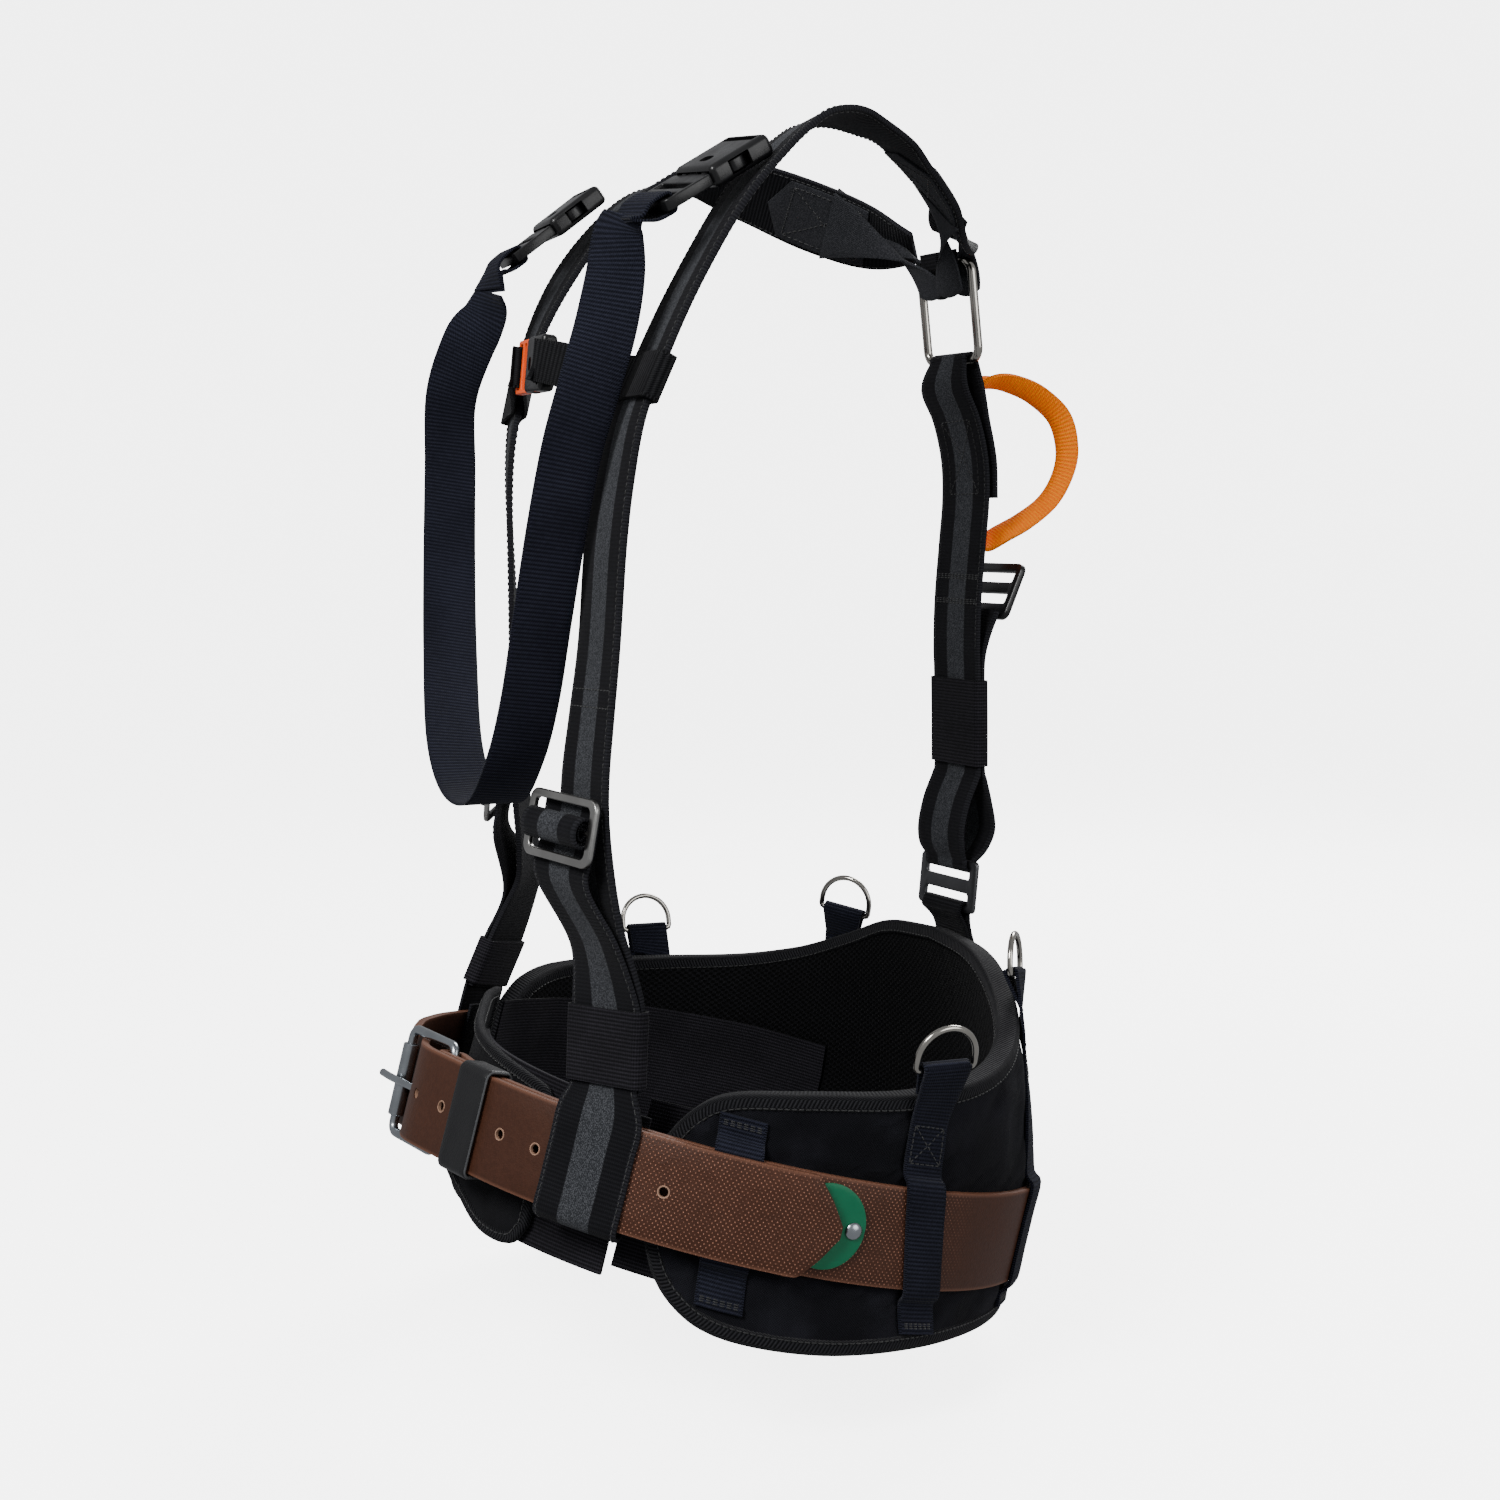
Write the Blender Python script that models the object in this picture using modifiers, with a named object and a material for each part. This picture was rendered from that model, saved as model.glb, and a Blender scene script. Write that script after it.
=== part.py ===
"""Tool support harness: padded lumbar belt, leather tool belt, shoulder straps and hardware.

Metres, +Z up. The wearer faces -Y and +X is the wearer's left. The origin is the middle of
the waist, level with the middle of the leather belt. It is modelled as worn.
"""

import math

import bmesh
import bpy
from mathutils import Matrix, Vector

# The waist ellipse that the middle of the leather belt's inner layer follows.
WAIST_A = 0.183
WAIST_B = 0.170
WAIST_CENTRE = Vector((0, -0.018, -0.0005))
WAIST_TILT = math.radians(15)
# Length of a degree round the waist.
DEGREE = 0.00315

BELT_WIDTH = 0.050
BELT_THICK = 0.004
TIP_OUT = 0.0066
HOLE_FIRST = 3.8
HOLE_STEP = 7.4
HOLE_COUNT = 8
HOLE_RADIUS = 0.0028

PAD_OUT = -0.0026
COVER_THICK = 0.0012
FOAM_THICK = 0.0064
LINING_THICK = 0.0020
LAYER_GAP = 0.0011
PAD_FRONT = 52.0
BINDING_HEIGHT = 0.005
BINDING_WIDTH = 0.0135

STRAP_WIDTH = 0.045
STRAP_THICK = 0.0030
WEB_THICK = 0.0016
LOOP_WIDTH = 0.025
NAVY_WIDTH = 0.030
NAVY_THICK = 0.0015
GAP = 0.0004

# Heel bar of the belt buckle, and the buckle plane's heading.
BUCKLE_ANGLE = 6.0
BUCKLE_HEEL_OUT = -0.003
BUCKLE_HEADING = math.radians(12)
BUCKLE_LENGTH = 0.046
BUCKLE_HEIGHT = 0.053
BAR_RADIUS = 0.0025
ROLLER_RADIUS = 0.0043
PRONG_RADIUS = 0.0020

# Height above the belt's middle of the pad's edges, by angle from the front.
PAD_TOP = [(52, 0.018), (56, 0.038), (62, 0.051), (75, 0.061), (90, 0.070), (110, 0.085),
           (125, 0.101), (140, 0.120), (156, 0.136), (180, 0.141)]
PAD_BOTTOM = [(52, -0.018), (56, -0.042), (62, -0.057), (70, -0.063), (85, -0.062),
              (105, -0.055), (125, -0.049), (150, -0.045), (180, -0.044)]


def clear_scene():
    for obj in list(bpy.data.objects):
        bpy.data.objects.remove(obj, do_unlink=True)


clear_scene()
HARNESS = bpy.data.collections.new("safety_harness")
CUTTERS = bpy.data.collections.new("cutters")
CUTTERS.hide_render = True
for group in (HARNESS, CUTTERS):
    bpy.context.scene.collection.children.link(group)


def material(name, colour, roughness, metallic=0.0):
    made = bpy.data.materials.get(name)
    if made is None:
        made = bpy.data.materials.new(name)
        made.use_nodes = True
        shader = made.node_tree.nodes["Principled BSDF"]
        shader.inputs["Base Color"].default_value = (*colour, 1)
        shader.inputs["Roughness"].default_value = roughness
        shader.inputs["Metallic"].default_value = metallic
    return made


def webbing():
    return material("black_webbing", (0.020, 0.020, 0.023), 0.85)


def elastic():
    return material("ribbed_elastic", (0.028, 0.028, 0.032), 0.9)


def navy():
    return material("navy_webbing", (0.030, 0.034, 0.050), 0.8)


def plastic():
    return material("black_plastic", (0.015, 0.015, 0.016), 0.45)


def orange_plastic():
    return material("orange_plastic", (0.90, 0.20, 0.03), 0.4)


def leather():
    return material("brown_leather", (0.25, 0.11, 0.06), 0.6)


def steel():
    return material("zinc_steel", (0.62, 0.64, 0.66), 0.3, 1.0)


def nickel():
    return material("polished_nickel", (0.70, 0.68, 0.64), 0.15, 1.0)


def finish(mesh_or_curve, name, look, sharp_angle=None):
    """Links a new object under its name, with its look, and shades it smooth where asked."""
    obj = bpy.data.objects.new(name, mesh_or_curve)
    mesh_or_curve.materials.append(look)
    HARNESS.objects.link(obj)
    if sharp_angle is not None:
        mesh_or_curve.shade_smooth()
        mesh_or_curve.set_sharp_from_angle(angle=math.radians(sharp_angle))
    return obj


def through(values, steps, closed=False):
    """Points on a smooth curve through the given ones, with steps to each span."""
    count = len(values)
    found = []
    for i in range(count if closed else count - 1):
        if closed:
            before, start, end, after = (values[(i + k) % count] for k in (-1, 0, 1, 2))
        else:
            start, end = values[i], values[i + 1]
            before = values[i - 1] if i else start * 2 - end
            after = values[i + 2] if i + 2 < count else end * 2 - start
        for step in range(steps):
            t = step / steps
            found.append((start * 2 + (end - before) * t
                          + (before * 2 - start * 5 + end * 4 - after) * t ** 2
                          + (start * 3 - before - end * 3 + after) * t ** 3) * 0.5)
    return found if closed else found + [values[-1].copy()]


def sheet(name, rows, thickness, look, closed=False):
    """A body of even thickness about the surface through rows of points."""
    shape = bmesh.new()
    lines = [[shape.verts.new(point) for point in row] for row in rows]
    following = lines[1:] + (lines[:1] if closed else [])
    for first, second in zip(lines, following):
        for i in range(len(first) - 1):
            shape.faces.new((first[i], first[i + 1], second[i + 1], second[i]))
    mesh = bpy.data.meshes.new(name)
    shape.to_mesh(mesh)
    shape.free()
    obj = finish(mesh, name, look, 40)
    solid = obj.modifiers.new("thickness", "SOLIDIFY")
    solid.thickness = thickness
    solid.offset = 0
    solid.use_even_offset = True
    return obj


def ribbon_rows(stations, width, steps, closed=False):
    """Pairs of edge points of a strap along stations of (point, across) or (point, across, width)."""
    middles = through([Vector(s[0]) for s in stations], steps, closed)
    acrosses = through([Vector(s[1]).normalized() for s in stations], steps, closed)
    widths = through([Vector((s[2] if len(s) > 2 else width, 0)) for s in stations],
                     steps, closed)
    rows = []
    for i, middle in enumerate(middles):
        last = len(middles) - 1
        ahead = middles[(i + 1) % len(middles)] if closed or i < last else middle
        behind = middles[i - 1] if closed or i else middle
        along = (ahead - behind).normalized()
        across = acrosses[i] - along * acrosses[i].dot(along)
        half = across.normalized() * widths[i].x / 2
        rows.append([middle - half, middle + half])
    return rows


def ribbon(name, stations, width, thickness, look, steps=3, closed=False):
    return sheet(name, ribbon_rows(stations, width, steps, closed), thickness, look, closed)


def wire(name, points, radius, look, closed=False, sides=2):
    """A round bar along the points."""
    curve = bpy.data.curves.new(name, "CURVE")
    curve.dimensions = "3D"
    curve.bevel_depth = radius
    curve.bevel_resolution = sides
    curve.use_fill_caps = True
    curve.twist_mode = "MINIMUM"
    spline = curve.splines.new("POLY")
    spline.points.add(len(points) - 1)
    for slot, point in zip(spline.points, points):
        slot.co = (*point, 1)
        spline.use_cyclic_u = closed
    spline.use_smooth = True
    return finish(curve, name, look)


def frame_at(origin, along, up):
    """Matrix whose X is along, Z close to up, and Y into the page, so -Y is outward."""
    x = Vector(along).normalized()
    y = Vector(up).cross(x).normalized()
    z = x.cross(y)
    turn = Matrix((x, y, z)).transposed().to_4x4()
    return Matrix.Translation(origin) @ turn


def place_on(origin, across, up):
    """Matrix at the origin whose Z is exactly up, X near across, and -Y outward."""
    z = Vector(up).normalized()
    x = (Vector(across) - z * z.dot(Vector(across))).normalized()
    turn = Matrix((x, z.cross(x), z)).transposed().to_4x4()
    return Matrix.Translation(origin) @ turn


def pivot(obj, point):
    """Puts the object's origin on its joint's axis."""
    obj.data.transform(Matrix.Translation(-Vector(point)) @ obj.matrix_world)
    obj.matrix_world = Matrix.Translation(point)
    return obj


def to_mesh(obj):
    """Replaces a curve object by its welded mesh, so that it can take a Boolean."""
    graph = bpy.context.evaluated_depsgraph_get()
    mesh = bpy.data.meshes.new_from_object(obj.evaluated_get(graph))
    shape = bmesh.new()
    shape.from_mesh(mesh)
    bmesh.ops.remove_doubles(shape, verts=shape.verts, dist=0.000001)
    bmesh.ops.recalc_face_normals(shape, faces=shape.faces)
    shape.to_mesh(mesh)
    shape.free()
    name, place = obj.name, obj.matrix_world.copy()
    bpy.data.objects.remove(obj, do_unlink=True)
    made = bpy.data.objects.new(name, mesh)
    made.matrix_world = place
    HARNESS.objects.link(made)
    return made


def outline_plate(name, outlines, thickness, place, look, bevel=0.0):
    """A flat plate in the XZ plane of the place matrix, from an outline and the windows in it."""
    curve = bpy.data.curves.new(name, "CURVE")
    curve.dimensions = "2D"
    curve.fill_mode = "BOTH"
    curve.extrude = thickness / 2 - bevel
    curve.bevel_depth = bevel
    curve.bevel_resolution = 1 if bevel else 0
    for points in outlines:
        spline = curve.splines.new("POLY")
        spline.points.add(len(points) - 1)
        for slot, (x, z) in zip(spline.points, points):
            slot.co = (x, z, 0, 1)
        spline.use_cyclic_u = True
    obj = finish(curve, name, look)
    obj.matrix_world = place @ Matrix.Rotation(math.pi / 2, 4, "X")
    bpy.context.view_layer.update()
    return to_mesh(obj)


def rounded(width, height, radius, x=0.0, z=0.0, corner=3):
    """Outline of a rounded rectangle about x, z."""
    points = []
    for quarter, (sx, sz) in enumerate(((1, 1), (-1, 1), (-1, -1), (1, -1))):
        for step in range(corner + 1):
            turn = math.pi / 2 * (quarter + step / corner)
            points.append((x + sx * (width / 2 - radius) + radius * math.cos(turn),
                           z + sz * (height / 2 - radius) + radius * math.sin(turn)))
    return points


def cutter_mesh(name, shape, place):
    mesh = bpy.data.meshes.new(name)
    shape.to_mesh(mesh)
    shape.free()
    obj = bpy.data.objects.new(name, mesh)
    obj.matrix_world = place
    obj.hide_render = True
    obj.display_type = "WIRE"
    CUTTERS.objects.link(obj)
    return obj


def box_cutter(name, size, place):
    shape = bmesh.new()
    bmesh.ops.create_cube(shape, size=1.0, matrix=Matrix.Diagonal((*size, 1)))
    return cutter_mesh(name, shape, place)


def drill(name, radius, length, place):
    """A cylinder along the place's Y axis."""
    shape = bmesh.new()
    bmesh.ops.create_cone(shape, cap_ends=True, segments=16, radius1=radius, radius2=radius,
                          depth=length, matrix=Matrix.Rotation(math.pi / 2, 4, "X"))
    return cutter_mesh(name, shape, place)


def combine(obj, other, operation):
    step = obj.modifiers.new(other.name, "BOOLEAN")
    step.operation = operation
    step.object = other
    step.solver = "EXACT"


def front_bulge(angle):
    """How far the stiff belt stands out of the ellipse beside its buckle."""
    return 0.0072 * math.exp(-((angle + 6) / 17) ** 2)


def waist(angle, out, height):
    """Point beside the waist: degrees from the front to the wearer's left, out from the belt's
    middle, and height along its width."""
    turn = math.radians(angle)
    out += front_bulge((angle + 180) % 360 - 180)
    flat = Vector(((WAIST_A + out) * math.sin(turn), -(WAIST_B + out) * math.cos(turn), height))
    return Matrix.Rotation(-WAIST_TILT, 3, "X") @ flat + WAIST_CENTRE


def waist_along(angle):
    return (waist(angle + 0.5, 0, 0) - waist(angle - 0.5, 0, 0)).normalized()


def waist_up():
    return Matrix.Rotation(-WAIST_TILT, 3, "X") @ Vector((0, 0, 1))


def by_angle(table, angle):
    """Smooth value of a table of (angle, value), the same on both sides of the waist."""
    side = abs((angle + 180) % 360 - 180)
    if side <= table[0][0]:
        return table[0][1]
    for (start, low), (end, high) in zip(table, table[1:]):
        if side <= end:
            t = (side - start) / (end - start)
            return low + (high - low) * t
    return table[-1][1]


def pad_lean(angle, height):
    """How far the pad stands out from the waist ellipse: in at the small of the back, flared
    beside the hips, and drawn in at its front ends."""
    side = abs((angle + 180) % 360 - 180)
    back = max(0.0, -math.cos(math.radians(side)))
    rise = max(0.0, (height - 0.025) / 0.115)
    flare = min(0.009, 0.008 * max(0.0, (abs(height) - 0.036) / 0.034))
    flare *= math.exp(-((side - 90) / 35) ** 2)
    ends = max(0.0, min(1.0, (70 - side) / 8))
    return -0.056 * back * rise ** 1.2 + flare - 0.0034 * ends


def pad_point(angle, depth, height):
    return waist(angle, PAD_OUT - depth + pad_lean(angle, height), height)


def pad_angles():
    """Angles round the back of the waist from the left front end to the right one."""
    near = [PAD_FRONT, 54, 57, 61, 66, 72, 79, 87, 95, 104, 113, 122, 131, 140, 149, 158, 169]
    return near + [180] + [360 - angle for angle in reversed(near)]


def inset_edge(edge, inset):
    """The closed outline of (angle, height) moved inward, square to itself."""
    moved = []
    for i, (angle, height) in enumerate(edge):
        before, after = edge[i - 1], edge[(i + 1) % len(edge)]
        run = (after[0] - before[0]) * DEGREE
        rise = after[1] - before[1]
        length = math.hypot(run, rise)
        moved.append((angle + rise / length * inset / DEGREE, height - run / length * inset))
    return moved


def pad_edge(inset):
    """Outline of the pad, along its top and back along its bottom."""
    angles = pad_angles()
    edge = [(angle, by_angle(PAD_TOP, angle)) for angle in angles]
    edge += [(angle, by_angle(PAD_BOTTOM, angle)) for angle in reversed(angles)]
    return inset_edge(edge, inset)


def pad_layer(name, depth, thickness, look):
    """A layer of the pad, its middle at the depth, stopping short of the binding."""
    edge = pad_edge(BINDING_HEIGHT + 0.0018)
    half = len(edge) // 2
    steps = 5
    rows = []
    for (top_angle, top), (low_angle, low) in zip(edge[:half], reversed(edge[half:])):
        rows.append([pad_point(low_angle + (top_angle - low_angle) * i / steps, depth,
                               low + (top - low) * i / steps) for i in range(steps + 1)])
    return sheet(name, rows, thickness, look)


def pad_binding():
    """Tape round the pad's whole edge."""
    depth = (COVER_THICK + FOAM_THICK + LINING_THICK) / 2 + LAYER_GAP
    tape = material("binding_tape", (0.016, 0.016, 0.018), 0.9)
    rows = [[pad_point(angle, depth + BINDING_WIDTH / 2, height),
             pad_point(angle, depth - BINDING_WIDTH / 2, height)]
            for angle, height in pad_edge(BINDING_HEIGHT / 2)]
    return sheet("pad_binding", rows, BINDING_HEIGHT, tape, closed=True)


def waist_pad():
    cover = material("outer_fabric", (0.018, 0.018, 0.021), 0.9)
    foam = material("closed_cell_foam", (0.10, 0.10, 0.11), 0.95)
    mesh = material("spacer_mesh", (0.014, 0.014, 0.016), 0.95)
    pad_layer("pad_cover", COVER_THICK / 2, COVER_THICK, cover)
    foam_depth = COVER_THICK + LAYER_GAP + FOAM_THICK / 2
    pad_layer("pad_foam", foam_depth, FOAM_THICK, foam)
    lining_depth = foam_depth + FOAM_THICK / 2 + LAYER_GAP + LINING_THICK / 2
    pad_layer("pad_lining", lining_depth, LINING_THICK, mesh)
    pad_binding()


def band_rows(angles, out, low, high, steps=1):
    rows = []
    for angle in angles:
        rows.append([waist(angle, out(angle), low(angle) + (high(angle) - low(angle)) * i / steps)
                     for i in range(steps + 1)])
    return rows


def spread(start, end, count):
    return [start + (end - start) * i / (count - 1) for i in range(count)]


def elastic_bands():
    """Ribbed elastic sewn inside the pad, which draws it round the waist."""
    for side, name in ((1, "waist_elastic_left"), (-1, "waist_elastic_right")):
        angles = [side * angle for angle in spread(138, 47.5, 20)]
        rows = []
        for angle in angles:
            heights = spread(-0.048, 0.030 + 0.016 * min(1, abs(angle) / 120), 5)
            depth = COVER_THICK + FOAM_THICK + LINING_THICK + 2 * LAYER_GAP + 0.0030
            rows.append([pad_point(angle, depth, height) for height in heights])
        sheet(name, rows, 0.0012, elastic())


def front_inset(angle):
    """The front closure hangs inside the leather belt, further in on the wearer's right."""
    return -0.0110 - 0.015 * math.exp(-((angle + 22) / 25) ** 2) - front_bulge(angle)


FLAP_TOP = [(-47, 0.044), (-24, 0.044), (0, 0.037), (24, 0.029), (29, 0.024), (31, 0.012)]
FLAP_BOTTOM = [(-47, -0.042), (-24, -0.036), (0, -0.040), (10, -0.045), (20, -0.055),
               (28, -0.054), (31, -0.042)]
PANEL_TOP = [(-8, 0.034), (20, 0.032), (47, 0.030)]
PANEL_BOTTOM = [(-8, -0.046), (20, -0.052), (47, -0.053)]


def at(table, angle):
    """Value of a table of (angle, value), with straight runs between."""
    for (start, low), (end, high) in zip(table, table[1:]):
        if angle <= end:
            return low + (high - low) * (angle - start) / (end - start)
    return table[-1][1]


def front_closure():
    """Hook panel on the wearer's left, and the bound flap that closes over it."""
    hook = material("hook_tape", (0.012, 0.012, 0.013), 1.0)
    fabric = material("flap_fabric", (0.020, 0.020, 0.023), 0.9)
    sheet("hook_panel", band_rows(spread(46.5, -8, 14), lambda a: front_inset(a) - 0.0048,
                                  lambda a: at(PANEL_BOTTOM, a), lambda a: at(PANEL_TOP, a), 3),
          0.0024, hook)
    angles = spread(-46.5, 24, 16) + [27, 29, 31]
    sheet("closure_flap", band_rows(angles, front_inset, lambda a: at(FLAP_BOTTOM, a),
                                    lambda a: at(FLAP_TOP, a), 3), 0.004, fabric)


def buckle_place():
    """Buckle frame of reference: X from the roller to the heel bar, -Y outward, Z up the belt,
    with its origin on the heel bar."""
    heel = waist(BUCKLE_ANGLE, BUCKLE_HEEL_OUT, 0)
    along = Vector((math.cos(BUCKLE_HEADING), math.sin(BUCKLE_HEADING), -0.03))
    return frame_at(heel, along, waist_up())


def beside_buckle(along, out, height=0.0):
    return buckle_place() @ Vector((along, -out, height))




def belt_route():
    """Middle line of the leather belt: a short return leg, the fold over the heel bar, once
    round the waist, behind the roller, and out over itself to the tip. Pairs of edges."""
    fold = BAR_RADIUS + 2 * GAP + BELT_THICK / 2 + 0.0008
    up = waist_up() * BELT_WIDTH / 2
    rows = [(waist(angle, -0.0056, 0), 1.0) for angle in (12.3, 11.5, 10.6, 9.8)]
    for turn in (165, 140, 115, 90, 65, 40, 15):
        bend = math.radians(turn)
        rows.append((beside_buckle(-fold * math.sin(bend), fold * math.cos(bend)), 1.0))
    rows += [(waist(angle, 0.0003 * max(0, 14 - angle), 0), 1.0) for angle in (9.5, 11, 14)]
    rows += [(waist(angle, 0, 0), 1.0) for angle in spread(18, 318, 51)]
    rows += [(waist(angle, 0.0012 * (angle - 318) / 10, 0), 1.0) for angle in (325, 332, 339)]
    round_roller = ROLLER_RADIUS + GAP + BELT_THICK / 2 + 0.0003
    rows += [(beside_buckle(along, out), 1.0) for along, out in
             ((-0.060, -round_roller - 0.0012), (-0.053, -round_roller - 0.0004),
              (-0.0475, -round_roller), (-0.0430, -0.0064), (-0.0395, -0.0042),
              (-0.0340, -0.0008), (-0.0270, 0.0034), (-0.0200, 0.0072), (-0.0120, 0.0098),
              (-0.0020, 0.0108))]
    rows += [(waist(angle, TIP_OUT, 0), 1.0) for angle in spread(11, 78, 19)]
    rows += [(waist(angle, TIP_OUT, 0), share) for angle, share in
             ((79.3, 0.86), (81.3, 0.58), (82.8, 0.30), (83.8, 0.12))]
    return [[middle - up * share, middle + up * share] for middle, share in rows]


def leather_belt():
    belt = sheet("leather_belt", belt_route(), BELT_THICK, leather())
    for index in range(HOLE_COUNT):
        angle = HOLE_FIRST + HOLE_STEP * index
        place = frame_at(waist(angle, TIP_OUT + 0.001, 0), waist_along(angle), waist_up())
        combine(belt, drill(f"cut_hole_{index}", HOLE_RADIUS, 0.0078, place), "DIFFERENCE")
    prong_slot = box_cutter("cut_prong_hole", (0.0260, 0.0105, 0.0068),
                            buckle_place() @ Matrix.Translation((-0.0200, -0.00325, 0)))
    combine(belt, prong_slot, "DIFFERENCE")
    fold_slot = box_cutter("cut_fold_slot", (0.020, 0.0160, 0.0070),
                           buckle_place() @ Matrix.Translation((0, 0.0002, 0)))
    combine(belt, fold_slot, "DIFFERENCE")


def turned(name, profile, place, look, steps):
    """A profile of (radius, height) turned about the place's Z axis."""
    shape = bmesh.new()
    corners = [shape.verts.new((x, 0, z)) for x, z in profile]
    for first, second in zip(corners, corners[1:]):
        shape.edges.new((first, second))
    bmesh.ops.remove_doubles(shape, verts=shape.verts, dist=0.00001)
    mesh = bpy.data.meshes.new(name)
    shape.to_mesh(mesh)
    shape.free()
    obj = finish(mesh, name, look, 40)
    obj.matrix_world = place
    spin = obj.modifiers.new("turn", "SCREW")
    spin.steps = steps
    spin.render_steps = steps
    spin.use_merge_vertices = True
    spin.merge_threshold = 0.00001
    return obj


def rounded_loop(place, length, height, radius, corner=4):
    """Closed rounded rectangle of points in the place's XZ plane, from X = -length to 0."""
    return [place @ Vector((x, 0, z)) for x, z in
            rounded(length, height, radius, x=-length / 2, corner=corner)]


def belt_buckle():
    place = buckle_place()
    wire("belt_buckle_frame", rounded_loop(place, BUCKLE_LENGTH, BUCKLE_HEIGHT + 0.003, 0.005),
         BAR_RADIUS, steel(), closed=True, sides=2)
    profile = [(ROLLER_RADIUS, 0.0195), (ROLLER_RADIUS, -0.0195),
               (BAR_RADIUS + GAP, -0.0195), (BAR_RADIUS + GAP, 0.0195), (ROLLER_RADIUS, 0.0195)]
    turned("buckle_roller", profile, place @ Matrix.Translation((-BUCKLE_LENGTH, 0, 0)),
           steel(), 16)
    wrap = BAR_RADIUS + GAP + PRONG_RADIUS
    route = []
    for turn in spread(-225, 0, 10):
        bend = math.radians(turn)
        route.append(beside_buckle(-wrap * math.sin(bend), wrap * math.cos(bend)))
    resting = ROLLER_RADIUS + GAP + PRONG_RADIUS
    for along, out in ((-0.016, 0.0053), (-0.034, 0.0060), (-0.046, resting),
                       (-0.053, resting - 0.0004), (-0.060, resting - 0.0012)):
        route.append(beside_buckle(along, out))
    prong = wire("buckle_prong", route, PRONG_RADIUS, steel(), sides=1)
    pivot(prong, beside_buckle(0, 0))


def loop_rows(place, points, width):
    """Edges of a closed band round points of (out, height), across along the place's X."""
    half = width / 2
    return [[place @ Vector((-half, -out, height)), place @ Vector((half, -out, height))]
            for out, height in points]


KEEPER_ANGLE = 18.0


def keeper_pivot():
    """Centre of the belt's curve at the keeper, about which the keeper slides."""
    turn = math.radians(KEEPER_ANGLE)
    long, short = WAIST_A + 0.003, WAIST_B + 0.003
    bend = ((long * math.cos(turn)) ** 2 + (short * math.sin(turn)) ** 2) ** 1.5 / long / short
    inward = waist_up().cross(waist_along(KEEPER_ANGLE))
    return waist(KEEPER_ANGLE, 0.003, 0) + inward * bend


def belt_keeper():
    """Leather loop that holds the belt's tip down."""
    place = frame_at(waist(KEEPER_ANGLE, 0, 0), waist_along(KEEPER_ANGLE), waist_up())
    low = -BELT_THICK / 2 - 0.0028
    high = TIP_OUT + BELT_THICK / 2 + 0.0022
    outline = [(out, height) for height, out in
               rounded(BELT_WIDTH + 0.0038, high - low, 0.0035, z=(high + low) / 2, corner=2)]
    black = material("black_leather", (0.022, 0.022, 0.024), 0.5)
    keeper = sheet("belt_keeper", loop_rows(place, outline, 0.022), 0.0024, black, closed=True)
    pivot(keeper, keeper_pivot())


RIVET_ANGLE = 86.3
TAG_RADIUS = 0.021
TAG_SHIFT = 0.0145


def swing_tag():
    """Thin plastic tag between the belt's layers, on a rivet near its edge."""
    green = material("green_plastic", (0.0, 0.30, 0.14), 0.4)
    rows = []
    for turn in spread(8, 172, 15):
        along = TAG_RADIUS * math.cos(math.radians(turn)) - TAG_SHIFT
        half = TAG_RADIUS * math.sin(math.radians(turn))
        angle = RIVET_ANGLE + along / DEGREE
        rows.append([waist(angle, 0.0032, 0.001 + half * k) for k in (-1, 0, 1)])
    tag = pivot(sheet("belt_tag", rows, 0.0012, green), waist(RIVET_ANGLE, 0.0032, 0.001))
    place = frame_at(waist(RIVET_ANGLE, 0, 0.001), waist_along(RIVET_ANGLE), waist_up())
    combine(tag, drill("cut_rivet", 0.0027, 0.012, place), "DIFFERENCE")
    profile = [(0.0, 0.0062), (0.0024, 0.0059), (0.0040, 0.0050), (0.0043, 0.0042),
               (0.0022, 0.0042), (0.0022, 0.0024), (0.0, 0.0024)]
    turned("tag_rivet", profile, place @ Matrix.Rotation(math.pi / 2, 4, "X"), steel(), 12)


ON_PAD = PAD_OUT + WEB_THICK / 2 + 0.0013
BINDING_STEP = 0.0014
OVER_BELT = BELT_THICK / 2 + WEB_THICK / 2 + GAP


def belt_loop_out(angle, height):
    """Out of a webbing loop that lies on the pad and bridges the belt."""
    on_pad = ON_PAD + pad_lean(angle, height)
    if height > by_angle(PAD_TOP, angle) - 0.010:
        on_pad += BINDING_STEP
    return max(on_pad, OVER_BELT) if abs(height) < 0.0275 else on_pad


def loop_row(angle, slant, height, drop=0.0, raised=0.0):
    """Across a webbing loop at a height: its angle, and how the angle slants with height."""
    middle = angle + slant * height
    half = LOOP_WIDTH / 2 / DEGREE
    return [waist(a, belt_loop_out(a, height) - drop, height + raised)
            for a in (middle - half, middle, middle + half)]


def pad_loop(name, angle, slant, top, bottom):
    """A webbing loop sewn to the pad above and below the belt."""
    heights = [top, 0.037, 0.032, 0.0265, 0.010, -0.010, -0.0265, -0.032, -0.042, bottom]
    sheet(name, [loop_row(angle, slant, height) for height in heights], WEB_THICK, webbing())


def ring_points(place, width, height, corner=8):
    """Closed D shape: a straight bar at Z = 0 and an arch above it."""
    half = width / 2
    side = height - half
    points = [(-half + 0.002, 0), (half - 0.002, 0), (half, 0.002)]
    for step in range(corner + 1):
        turn = math.pi * step / corner
        points.append((half * math.cos(turn), max(side, 0.004) + half * math.sin(turn)
                       * (height - max(side, 0.004)) / half))
    points.append((-half, 0.002))
    return [place @ Vector((x, 0, z)) for x, z in points]


RING_BAR = 0.0016
RING_INNER = 0.0315


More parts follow.
